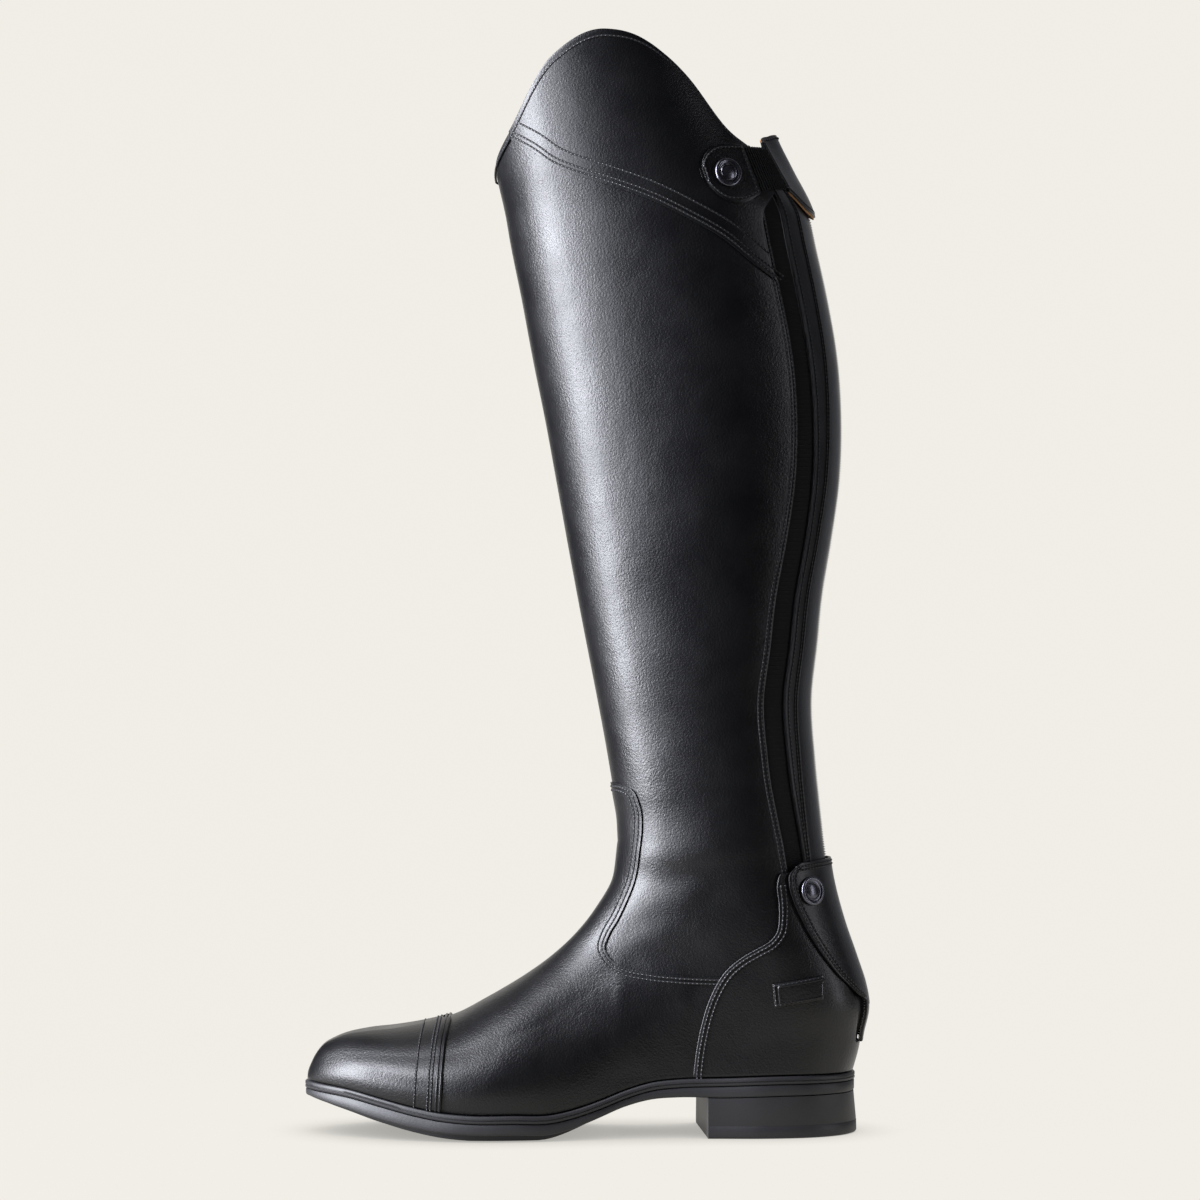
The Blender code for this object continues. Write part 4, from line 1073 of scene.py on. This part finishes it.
fit(grow("zip_strip_folds", beads, folds, {"Radius": 0.0005}, overlay_calf), "leather")
seamed = strip_rows > STRIP_SEAMS_FROM
strip_top = STRIP_STAND + STRIP_THICKNESS + THREAD_STAND
placket_top = PLACKET_STAND + PLACKET_THICKNESS + 2 * THREAD_STAND
strip_lines = [
    girth_line(strip_rows[seamed], PLACKET_EDGE + 0.0014, strip_top),
    girth_line(strip_rows[seamed], PLACKET_EDGE + 0.0030, strip_top),
    girth_line(strip_rows[seamed], strip_ends[seamed] - 0.0024, strip_top),
    girth_line(strip_rows[seamed], -PLACKET_EDGE + 0.0016, placket_top),
]
sew("zip_strip_stitches", strip_lines)

# Elastic gusset
# A ribbed black elastic panel lets the calf stretch. Its ribs run across it, and the shaft's edge beside it
# is folded and sewn with two rows.
GUSSET_STAND = -0.0014
GUSSET_THICKNESS = 0.0008
RIB_STAND = -0.0008
RIB_RADIUS = 0.00033
RIBS = 330
# Knitted elastic: matt, nearly without a highlight, with the fuzz of its covering yarn
elastic, tree, shader, at = material(
    "black_knitted_elastic",
    {"Base Color": linear("#0c0c0e"), "Roughness": 0.9, "Sheen Weight": 0.05, "Specular IOR Level": 0.25},
)
knit = add(tree, "ShaderNodeTexNoise", {"Scale": 1400.0, "Detail": 3.0}, {"Vector": at})
yarns = add(tree, "ShaderNodeBump", {"Distance": 0.00015}, {"Height": knit.outputs["Fac"]})
tree.links.new(yarns.outputs[0], shader.inputs["Normal"])
stretched = slot_ends - strip_edges > 0.0015
gusset_rows = zip_rows[stretched]
gusset_span = (strip_edges[stretched] + CLEARANCE, slot_ends[stretched])
gusset_sizes = (8, GUSSET_STAND, GUSSET_THICKNESS, elastic)
gusset = upright("elastic_gusset_base", gusset_rows, *gusset_span, *gusset_sizes, edge=0.0)
fit(gusset, "elastic", "elastic_gusset")
rib_rows = np.linspace(gusset_rows[0], gusset_rows[-1], RIBS)
_, rib_starts, rib_ends = opening_at(rib_rows)
rib_turns = turn_at(rib_rows, np.linspace(rib_starts + CLEARANCE, rib_ends, 6, axis=1))
rib_lines = list(zip(*on_surface(rib_rows[:, None], rib_turns, RIB_STAND)))
fit(grow("elastic_gusset_ribs", beads, rib_lines, {"Radius": RIB_RADIUS}, elastic), "elastic")
leg = zip_rows > 0.88
edge_lines = [girth_line(zip_rows[leg], slot_ends[leg] + step, THREAD_STAND) for step in (0.0016, 0.0034)]
sew("shaft_edge_stitches", edge_lines)

# Heel guard
# A shield of leather hangs over the lower end of the zip, sewn round its edge with two rows and held by a
# snap.
GUARD_FOOT = 0.0610
GUARD_HEIGHT = 0.0700
GUARD_HALF = 0.0385
GUARD_EDGE = [
    (0.00, 0.09),
    (0.06, 0.34),
    (0.18, 0.61),
    (0.34, 0.79),
    (0.48, 0.88),
    (0.64, 0.95),
    (0.78, 1.00),
    (0.88, 1.01),
    (0.95, 0.97),
    (1.00, 0.82),
]
GUARD_STAND = OVERLAY_STAND + OVERLAY + 2 * CLEARANCE
LEATHER = 0.0010
guard_share = np.linspace(0, 1, 70)
guard_rows = np.array([row_at(GUARD_FOOT + h * GUARD_HEIGHT) for h in guard_share])
guard_half = smooth(guard_share, GUARD_EDGE, 1) * GUARD_HALF
guard_sizes = (60, GUARD_STAND, LEATHER, overlay_calf, 0.0003)
guard = upright("heel_guard_leather", guard_rows, -guard_half, guard_half, *guard_sizes)
fit(guard, "leather", "heel_guard")
guard_top = GUARD_STAND + LEATHER + THREAD_STAND
guard_lines = []
for inset in (0.0016, 0.0034):
    kept = (guard_share > 0.05) & (guard_share < 0.985)
    for sign in (1, -1):
        guard_lines.append(girth_line(guard_rows[kept], sign * (guard_half[kept] - inset), guard_top))
    across = np.linspace(-1, 1, 60) * (GUARD_HALF * 0.93 - inset)
    guard_lines.append(girth_line(np.full(60, guard_rows[-1] - 8 * inset), across, guard_top))
sew("guard_stitches", guard_lines)

# Zip end
# A short folded leather stop, sewn over the foot of the zip, shows below the guard.
STOP_FOOT = 0.0435
STOP_TOP = 0.0660
STOP_HALF = 0.0085
STOP_TAPER = 0.0035
STOP_THICKNESS = 0.0012
stop_rows = np.array([row_at(z) for z in np.linspace(STOP_FOOT, STOP_TOP, 18)])
stop_half = STOP_HALF - STOP_TAPER * np.linspace(1, 0, 18) ** 3
stop_sizes = (16, OVERLAY_STAND + OVERLAY + 0.0002, STOP_THICKNESS, overlay_calf, 0.0005)
stop = upright("zip_end_stop", stop_rows, -stop_half, stop_half, *stop_sizes)
fit(stop, "leather")

# Snap buttons
# Round black snap caps with a raised rim and a plain ring round a low dome.
# Lacquer over metal: a clear highlight, slightly rubbed
snap, tree, shader, at = material(
    "black_lacquered_snap_metal", {"Base Color": linear("#55555c"), "Metallic": 0.9}
)
rubbed = add(tree, "ShaderNodeTexNoise", {"Scale": 500.0, "Detail": 3.0}, {"Vector": at})
gloss = add(tree, "ShaderNodeMapRange", {"To Min": 0.20, "To Max": 0.34}, {"Value": rubbed.outputs["Fac"]})
tree.links.new(gloss.outputs[0], shader.inputs["Roughness"])
BUTTON_RADIUS = 0.0068
BUTTON_SIDES = 48
DOME = 0.262
BUTTON_PROFILE = [
    (1.00, 0.00), (1.02, 0.05), (1.02, 0.12), (0.98, 0.19), (0.90, 0.225), (0.80, 0.215),
    (0.75, 0.17), (0.72, 0.15), (0.62, 0.15), (0.60, 0.19), (0.57, 0.215), (0.54, 0.19),
    (0.52, 0.17), (0.40, 0.215), (0.25, 0.245), (0.10, 0.26),
]


def bands(rings, around):
    """The faces between closed rings of points, each ring with the same number of points round it."""
    faces = []
    for start in range(0, (rings - 1) * around, around):
        for j in range(around):
            k = (j + 1) % around
            faces.append((start + j, start + k, start + around + k, start + around + j))
    return faces


def snap_button(name, row, turn, stand, node):
    """A turned cap standing on the leather at one place."""
    base = surface(row, turn, stand)
    axis = surface(row, turn, stand + 0.001) - base
    axis /= np.linalg.norm(axis)
    side = np.cross(axis, (0, 0, 1))
    side /= np.linalg.norm(side)
    up = np.cross(side, axis)
    turned = np.linspace(0, 2 * math.pi, BUTTON_SIDES, endpoint=False)
    spokes = [side * math.cos(a) + up * math.sin(a) for a in turned]
    points = [base + BUTTON_RADIUS * (axis * h + r * spoke) for r, h in BUTTON_PROFILE for spoke in spokes]
    points += [base + BUTTON_RADIUS * axis * DOME, base]
    last, top, foot = (len(BUTTON_PROFILE) - 1) * BUTTON_SIDES, len(points) - 2, len(points) - 1
    faces = bands(len(BUTTON_PROFILE), BUTTON_SIDES)
    for j in range(BUTTON_SIDES):
        k = (j + 1) % BUTTON_SIDES
        faces += [(last + j, last + k, top), (k, j, foot)]
    return fit(closed_piece(name, points, faces, snap), "button_metal", node)


def closed_piece(name, points, faces, made_of, sharp=50):
    """A closed form from its points and faces, facing out."""
    mesh = bpy.data.meshes.new(name)
    mesh.from_pydata([tuple(map(float, p)) for p in points], [], faces)
    form = bmesh.new()
    form.from_mesh(mesh)
    bmesh.ops.recalc_face_normals(form, faces=form.faces)
    form.to_mesh(mesh)
    form.free()
    mesh.shade_smooth()
    mesh.set_sharp_from_angle(angle=math.radians(sharp))
    mesh.materials.append(made_of)
    item = bpy.data.objects.new(name, mesh)
    bpy.context.collection.objects.link(item)
    return item


guard_snap_row = row_at(GUARD_FOOT + 0.81 * GUARD_HEIGHT)
guard_snap_turn = float(turn_at(guard_snap_row, 0.73 * GUARD_HALF))
snap_button("guard_snap", guard_snap_row, guard_snap_turn, GUARD_STAND + LEATHER + CLEARANCE, "guard_button")

# Top strap
# A leather strap wraps the back of the collar; a short elastic link joins it to a pointed tab that snaps to
# the outer side. The tab and wrap are two layers, with a tan raw edge below.
STRAP_WIDTH = 0.0285
STRAP_DROP = 0.0185
WRAP_END = 0.0212
WRAP_INNER = 0.0520
TAB_START = 0.0435
TAB_LENGTH = 0.0260
STRAP_EDGE = [
    (0.00, -0.11, 1.17),
    (0.17, 0.00, 1.19),
    (0.305, 0.27, 1.14),
    (0.35, 0.28, 1.03),
    (0.40, 0.28, 1.02),
    (0.60, 0.20, 1.00),
    (0.75, 0.05, 0.99),
    (0.83, 0.03, 0.97),
    (0.90, 0.07, 0.90),
    (0.95, 0.17, 0.80),
    (0.985, 0.30, 0.67),
    (1.00, 0.42, 0.56),
]
STRAP_LEAN = 0.32
LEAN_SPAN = 0.02
LIFT_LOW = 0.0014
LIFT_STEP = 0.0048
STRAP_FOOT = COLLAR_HEIGHT - STRAP_DROP
STRAP_STAND = 3 * CLEARANCE
STRAP_SKIN = 0.0009
STRAP_LAYER = 0.0004
# Cut edge of tan leather: loose fibres in two browns, without a finish
raw_edge, tree, shader, at = material("tan_raw_leather_edge", {"Roughness": 0.8})
fibres = add(tree, "ShaderNodeTexNoise", {"Scale": 900.0, "Detail": 3.0}, {"Vector": at})
browns = {"data_type": "RGBA", 6: linear("#8a5f3a"), 7: linear("#c0925f")}
fibre_colour = add(tree, "ShaderNodeMix", browns, {0: fibres.outputs["Fac"]})
tree.links.new(fibre_colour.outputs[2], shader.inputs["Base Color"])


def strap_grid(start, end, columns, rows, low_inset=0.0, high_inset=0.0):
    """Rows and turns over a length of the strap, between its edges."""
    turns, heights = [], []
    for girth in np.linspace(start, end, columns):
        share = min(1.0, abs(girth) / (TAB_START + TAB_LENGTH))
        low = STRAP_FOOT + float(smooth(share, STRAP_EDGE, 1)) * STRAP_WIDTH + low_inset
        high = STRAP_FOOT + float(smooth(share, STRAP_EDGE, 2)) * STRAP_WIDTH - high_inset
        heights.append(np.linspace(low, high, rows))
        lean = STRAP_LEAN * min(1.0, max(0.0, girth) / LEAN_SPAN)
        turns.append([level_turn(z, girth - lean * (z - STRAP_FOOT - STRAP_WIDTH / 2)) for z in heights[-1]])
    turns, heights = np.array(turns).T, np.array(heights).T
    leg = 1 + (heights - THROAT_HEIGHT) / (BAND_HEIGHT - THROAT_HEIGHT)
    band = 2 + (heights - BAND_HEIGHT) / (top_z(turns) - BAND_HEIGHT)
    return np.where(heights < BAND_HEIGHT, leg, band), turns


def strap_line(start, end, inset, low, stand):
    """A line along the strap's low or high edge."""
    rows, turns = strap_grid(start, end, 40, 2, inset if low else 0.0, 0.0 if low else inset)
    k = 0 if low else 1
    return on_surface(rows[k], turns[k], stand)


tab_end = TAB_START + TAB_LENGTH


def wrap_lift(start, end, columns, rows):
    """How far the strap stands off the back, more at its high edge than at its low one."""
    girths = np.linspace(start, end, columns)
    inside = ease((WRAP_END - girths) / WRAP_END) * ease((girths + WRAP_INNER) / (0.6 * WRAP_INNER))
    return inside[None, :] * (LIFT_LOW + np.linspace(0, 1, rows)[:, None] * LIFT_STEP)


def strap_rib(girth, inset, stand):
    """A line across the strap at one girth."""
    rows, turns = strap_grid(girth, girth + 0.0001, 2, 16, inset, inset)
    return on_surface(rows[:, 0], turns[:, 0], stand)


wrap_shape = wrap_lift(-WRAP_INNER, WRAP_END, 70, 22)
wrap_grid = strap_grid(-WRAP_INNER, WRAP_END, 70, 22)
wrap_stand = STRAP_STAND + STRAP_LAYER + wrap_shape
wrap = sheet("strap_wrap_leather", *wrap_grid, wrap_stand, STRAP_SKIN, overlay_calf)
fit(wrap, "leather", "strap_wrap")
backing_grid = strap_grid(-WRAP_INNER, WRAP_END - 0.0004, 70, 22, -0.0007, 0.0004)
wrap_under = sheet("strap_wrap_backing", *backing_grid, STRAP_STAND - 0.0003 + wrap_shape, 0.0006, raw_edge)
fit(wrap_under, "leather")
tab_grid = strap_grid(TAB_START, tab_end, 40, 22)
tab = sheet("strap_tab_leather", *tab_grid, STRAP_STAND + STRAP_LAYER, STRAP_SKIN, overlay_calf)
fit(tab, "leather", "strap_tab")
second_grid = strap_grid(TAB_START + 0.002, tab_end + 0.0013, 40, 22, -0.0002, -0.0002)
fit(sheet("strap_tab_second_layer", *second_grid, STRAP_STAND, STRAP_LAYER, overlay_calf), "leather")
under_grid = strap_grid(TAB_START + 0.002, tab_end - 0.001, 40, 22, -0.0006, 0.001)
fit(sheet("strap_tab_backing", *under_grid, STRAP_STAND - STRAP_LAYER, STRAP_LAYER, raw_edge), "leather")
link_grid = strap_grid(WRAP_END - 0.002, TAB_START + 0.002, 20, 16, 0.0006, 0.0006)
link = sheet("strap_elastic_base", *link_grid, STRAP_STAND - 0.0001, STRAP_LAYER, elastic)
fit(link, "elastic", "strap_elastic")
rib_girths = np.linspace(WRAP_END + 0.0006, TAB_START - 0.0006, 13)
link_ribs = [strap_rib(girth, 0.0006, STRAP_STAND + 0.0005) for girth in rib_girths]
fit(grow("strap_elastic_ribs", beads, link_ribs, {"Radius": 0.00055}, elastic), "elastic")
strap_top = STRAP_STAND + STRAP_LAYER + STRAP_SKIN + THREAD_STAND
tab_span = (TAB_START + 0.001, tab_end - 0.001)
strap_lines = [strap_line(*tab_span, 0.0016, low, strap_top) for low in (True, False)]
for low, k in ((True, 0), (False, 1)):
    lifted = wrap_lift(-WRAP_INNER + 0.001, WRAP_END - 0.001, 40, 2)[k]
    strap_lines.append(strap_line(-WRAP_INNER + 0.001, WRAP_END - 0.001, 0.0016, low, strap_top + lifted))
for girth in (TAB_START + 0.0014, tab_end - 0.0014, WRAP_END - 0.0014, -WRAP_INNER + 0.0014):
    strap_lines.append(strap_rib(girth, 0.0016, strap_top))
sew("strap_stitches", strap_lines)
snap_z = STRAP_FOOT + STRAP_WIDTH / 2
snap_turn = level_turn(snap_z, TAB_START + 0.55 * TAB_LENGTH)
snap_row = 2 + (snap_z - BAND_HEIGHT) / (float(top_z(snap_turn)) - BAND_HEIGHT)
snap_stand = STRAP_STAND + STRAP_LAYER + STRAP_SKIN + CLEARANCE
snap_button("strap_snap", snap_row, snap_turn, snap_stand, "strap_button")

# Insole
# A tan leather insole lies on the sole inside.
WELT_MARGIN = 0.0026
WELT_THICKNESS = 0.0036
EDGE_THICKNESS = 0.0090
HEEL_FLARE = 0.0015
HEEL_LENGTH = 0.0746
TREAD_INSET = 0.0055
EDGE = [
    (0.00, 1.00, 0.00),
    (0.25, 1.00, 0.00),
    (0.34, 0.90, 0.00),
    (0.44, 0.82, 0.05),
    (0.50, 0.92, 0.34),
    (0.53, 0.97, 0.58),
    (0.56, 1.00, 0.80),
    (0.60, 1.00, 0.98),
    (0.64, 1.00, 1.00),
    (0.70, 1.00, 1.00),
    (0.76, 1.04, 0.90),
    (0.84, 1.10, 0.70),
    (0.90, 1.10, 0.55),
    (0.96, 0.95, 0.45),
    (1.00, 0.78, 0.40),
]


def loop(turns, push, height):
    """A loop of the feather line pushed outward, at a height that may follow the sole."""

    def at(a):
        x = BACK - UPPER_LENGTH * (1 - np.cos(a)) / 2
        y = np.where(np.sin(a) >= 0, -plan_half(x, 1), plan_half(x, 2))
        return np.stack([x, y], axis=-1)

    along = at(turns + STEP) - at(turns - STEP)
    along /= np.linalg.norm(along, axis=-1, keepdims=True)
    flat = at(turns) + push * np.stack([-along[:, 1], along[:, 0]], axis=-1)
    z = height(flat[:, 0]) if callable(height) else np.full(len(flat), height)
    return np.column_stack([flat, z])


def layer(name, turns, levels, made_of, ladder=True, sharp=40):
    """A layer of the sole, closed from its lowest loop to its highest."""
    rings = [loop(turns, push, height) for push, height in levels]
    n = len(turns)
    faces = bands(len(rings), n)
    for base in (0, (len(rings) - 1) * n):
        if not ladder:
            faces.append(tuple(base + j for j in range(n)))
            continue
        for j in range(n // 2):
            rung = (base + j, base + j + 1, base + (n - j - 1) % n, base + (n - j) % n)
            faces.append(tuple(dict.fromkeys(rung)))
    return closed_piece(name, np.concatenate(rings), faces, made_of, sharp)


insole_leather = leather("tan_insole_leather", "#8a6238", 0.6, 0.0, grain=0.6, cloud=0.3)
round_turns = np.linspace(0, 2 * math.pi, 200, endpoint=False)
insole_levels = [
    (-0.0038, lambda x: feather_z(x) + 0.0006),
    (-0.0038, lambda x: feather_z(x) + 0.0027),
    (-0.0043, lambda x: feather_z(x) + 0.0031),
]
fit(layer("insole_leather", round_turns, insole_levels, insole_leather), "insole_leather", "insole")

# Welt
# A rubber welt runs round the boot, its upper edge catching the light, a fine groove under it.
# Moulded rubber: satin, with a faint mould grain and patches of duller bloom
rubber, tree, shader, at = material("black_moulded_rubber_satin", {"Base Color": linear("#17171a")})
mould = add(tree, "ShaderNodeTexNoise", {"Scale": 900.0, "Detail": 3.0}, {"Vector": at})
bloom = add(tree, "ShaderNodeTexNoise", {"Scale": 40.0, "Detail": 3.0}, {"Vector": at})
grain = add(tree, "ShaderNodeBump", {"Distance": 0.00005}, {"Height": mould.outputs["Fac"]})
gloss = add(tree, "ShaderNodeMapRange", {"To Min": 0.42, "To Max": 0.60}, {"Value": bloom.outputs["Fac"]})
tree.links.new(grain.outputs[0], shader.inputs["Normal"])
tree.links.new(gloss.outputs[0], shader.inputs["Roughness"])


def edge_z(x):
    return feather_z(x) - smooth(length_share(x), EDGE, 1) * EDGE_THICKNESS


def tread_z(x):
    return edge_z(x) - smooth(length_share(x), EDGE, 2) * (FORE_THICKNESS - EDGE_THICKNESS)


def welt_z(x):
    return feather_z(x) - WELT_THICKNESS


welt_levels = [
    (WELT_MARGIN - 0.0005, welt_z),
    (WELT_MARGIN, lambda x: welt_z(x) + 0.0004),
    (WELT_MARGIN, lambda x: welt_z(x) + 0.0012),
    (WELT_MARGIN - 0.0004, lambda x: welt_z(x) + 0.0014),
    (WELT_MARGIN - 0.0004, lambda x: welt_z(x) + 0.0017),
    (WELT_MARGIN, lambda x: welt_z(x) + 0.0019),
    (WELT_MARGIN, lambda x: feather_z(x) - 0.0005),
    (WELT_MARGIN - 0.0005, feather_z),
]
fit(layer("welt_rubber", round_turns, welt_levels, rubber, sharp=60), "rubber", "welt")

# Outsole
# A moulded rubber outsole with a rounded lower edge, an open waist, and a tread pad crossed by grooves under
# the ball and toes.
GROOVE_HALF = 0.0011
GROOVE_DEPTH = 0.0010
groove_shares = [0.58 + 0.036 * i for i in range(9)]
shares = [(1 - math.cos(a)) / 2 for a in np.linspace(0, math.pi, 150)]
for share in groove_shares:
    shares += [share + d / UPPER_LENGTH for d in (-0.0012, -0.0010, 0.0010, 0.0012)]
shares = np.unique(np.clip(shares, 0, 1))
half_round = np.arccos(1 - 2 * shares)
sole_turns = np.concatenate([half_round, 2 * math.pi - half_round[-2:0:-1]])


def grooved(x):
    """Height of the tread with its grooves."""
    away = np.min([np.abs(length_share(x) - share) for share in groove_shares], axis=0) * UPPER_LENGTH
    return tread_z(x) + GROOVE_DEPTH * (away < GROOVE_HALF) * smooth(length_share(x), EDGE, 2)


sole_levels = [
    (-TREAD_INSET - 0.0045, grooved),
    (-TREAD_INSET - 0.0040, tread_z),
    (-TREAD_INSET, tread_z),
    (-TREAD_INSET + 0.0008, lambda x: edge_z(x) - 0.0002),
    (WELT_MARGIN - 0.0009, edge_z),
    (WELT_MARGIN - 0.0005, lambda x: edge_z(x) + 0.0003),
    (WELT_MARGIN - 0.0003, lambda x: edge_z(x) + 0.0008),
    (WELT_MARGIN - 0.0003, lambda x: welt_z(x) - 0.0006),
    (WELT_MARGIN - 0.0006, lambda x: welt_z(x) - 0.0003),
]
fit(layer("outsole_rubber", sole_turns, sole_levels, rubber, sharp=50), "rubber", "outsole")

# Heel
# A stacked heel block with a thin line between the block and its top lift, flared to the floor.
reach = HEEL_LENGTH - WELT_MARGIN - HEEL_FLARE
inner_end = math.acos(1 - 2 * (reach + 0.002) / UPPER_LENGTH)
outer_end = math.acos(1 - 2 * (reach - 0.002) / UPPER_LENGTH)
heel_turns = np.linspace(-inner_end, outer_end, 130)
heel_seat = float(edge_z(BACK)) - CLEARANCE
heel_levels = [
    (WELT_MARGIN - 0.0006, 0.0),
    (WELT_MARGIN + HEEL_FLARE - 0.0011, 0.0003),
    (WELT_MARGIN + HEEL_FLARE - 0.0007, 0.0010),
    (WELT_MARGIN + HEEL_FLARE - 0.0008, 0.0058),
    (WELT_MARGIN + 0.0005, 0.0060),
    (WELT_MARGIN + 0.0005, 0.0061),
    (WELT_MARGIN + HEEL_FLARE - 0.0009, 0.0063),
    (WELT_MARGIN - 0.0006, lambda x: np.minimum(heel_seat, edge_z(x) - CLEARANCE)),
]
fit(layer("heel_rubber", heel_turns, heel_levels, rubber, ladder=False, sharp=50), "rubber", "heel")

# Studio
# A pale seamless floor and backdrop with an even glow of its own. A tall softbox on the left draws the long
# highlight, two small ones light the toe and instep, and weak lights fill in from above and from the right.
VIEW_X = -0.0864
VIEW_Z = 0.2545
VIEW_AWAY = 2.0
dull = {"Base Color": linear("#060606"), "Roughness": 0.9, "Specular IOR Level": 0.0}
paper, tree, shader, at = material("pale_seamless_paper", {**dull, "Emission Color": linear("#f2efe8")})
tooth = add(tree, "ShaderNodeTexNoise", {"Scale": 400.0}, {"Vector": at})
rough = add(tree, "ShaderNodeBump", {"Distance": 0.00002}, {"Height": tooth.outputs["Fac"]})
tree.links.new(rough.outputs[0], shader.inputs["Normal"])
# Painted contact shadow: the paper's glow darkens softly where the boot stands close over it
shade = add(tree, "ShaderNodeAmbientOcclusion", {"samples": 8, "Distance": 0.045})
dimmed = {"From Max": 0.85, "To Min": 0.42, "To Max": 0.985}
glow = add(tree, "ShaderNodeMapRange", dimmed, {"Value": shade.outputs["AO"]})
tree.links.new(glow.outputs[0], shader.inputs["Emission Strength"])
sweep = [(-0.27, 0.0), (0.1, 0.0), (0.6, 0.0)]
sweep += [(0.6 + 0.6 * math.sin(a), 0.6 - 0.6 * math.cos(a)) for a in np.linspace(0, math.pi / 2, 16)[1:]]
sweep += [(1.2, 1.6), (1.2, 3.2)]
floor_mesh = bpy.data.meshes.new("backdrop")
floor_points = [(x, y, z) for y, z in sweep for x in (-0.80, 0.63)]
floor_faces = [(2 * i, 2 * i + 1, 2 * i + 3, 2 * i + 2) for i in range(len(sweep) - 1)]
floor_mesh.from_pydata(floor_points, [], floor_faces)
floor_mesh.shade_smooth()
floor_mesh.materials.append(paper)
backdrop = bpy.data.objects.new("backdrop", floor_mesh)
bpy.context.collection.objects.link(backdrop)


def softbox(name, place, aim, width, height, power, code="#ffffff"):
    """A soft rectangular lamp aimed at a point."""
    light = bpy.data.lights.new(name, "AREA")
    light.shape = "RECTANGLE"
    light.size, light.size_y = width, height
    light.energy = power
    light.color = linear(code)[:3]
    item = bpy.data.objects.new(name, light)
    item.location = place
    item.rotation_euler = (Vector(aim) - Vector(place)).to_track_quat("-Z", "Y").to_euler()
    bpy.context.collection.objects.link(item)


softbox("key_left_near", (-1.54, -0.44, 0.50), (-0.05, 0.0, 0.28), 0.5, 1.6, 130.0, "#f4f6ff")
softbox("key_left_front", (-1.20, -1.10, 0.33), (-0.05, 0.0, 0.20), 0.5, 0.7, 8.0, "#f0f4ff")
softbox("key_left_high", (-0.95, -0.60, 1.25), (-0.06, 0.0, 0.09), 0.5, 0.5, 24.0, "#f4f6ff")
softbox("fill_above", (-0.6, -0.3, 1.9), (-0.1, 0.0, 0.1), 0.8, 0.5, 4.0)
softbox("strip_right", (1.45, -0.50, 0.35), (0.0, 0.0, 0.2), 0.3, 1.3, 6.0, "#f6f6ff")

# Two cards behind the boot, just out of view, keep the pale backdrop out of its edges: black on the left, and
# a dim grey one on the right that glows with its own emission, painted light for the boot's back edges to
# reflect.
card, tree, shader, at = material("black_felt_card", {"Base Color": linear("#0a0a0a"), "Roughness": 1.0})
felt = add(tree, "ShaderNodeTexNoise", {"Scale": 500.0}, {"Vector": at})
nap = add(tree, "ShaderNodeBump", {"Distance": 0.0002}, {"Height": felt.outputs["Fac"]})
tree.links.new(nap.outputs[0], shader.inputs["Normal"])
grey_card = card.copy()
grey_card.name = "grey_glowing_card"
grey_shader = grey_card.node_tree.nodes["Principled BSDF"]
# The grey card's emission is painted light: it glows as if lit, though no lamp lights it.
grey_shader.inputs["Emission Color"].default_value = linear("#a8aab2")
grey_shader.inputs["Emission Strength"].default_value = 0.7
for side, label in ((-1, "card_left"), (1, "card_right")):
    near, far = VIEW_X + side * 0.36, VIEW_X + side * 0.56
    corners = [(near, 0.10, 0.0), (far, 1.15, 0.02), (far, 1.15, 1.4), (near, 0.10, 1.4)]
    card_mesh = bpy.data.meshes.new(label)
    card_mesh.from_pydata(corners, [], [(0, 1, 2, 3)])
    card_mesh.materials.append(card if side < 0 else grey_card)
    flag = bpy.data.objects.new(label, card_mesh)
    bpy.context.collection.objects.link(flag)
world = bpy.data.worlds.new("studio_dim")
world.use_nodes = True
world.node_tree.nodes["Background"].inputs["Color"].default_value = linear("#8c8e96")
world.node_tree.nodes["Background"].inputs["Strength"].default_value = 0.02
bpy.context.scene.world = world
bpy.context.scene.view_settings.view_transform = "Standard"

lens = bpy.data.cameras.new("front")
lens.lens = 125.0
lens.sensor_width = 36.0
camera = bpy.data.objects.new("camera", lens)
camera.location = (VIEW_X, -VIEW_AWAY, VIEW_Z)
camera.rotation_euler = (math.radians(90), 0, 0)
bpy.context.collection.objects.link(camera)
bpy.context.scene.camera = camera
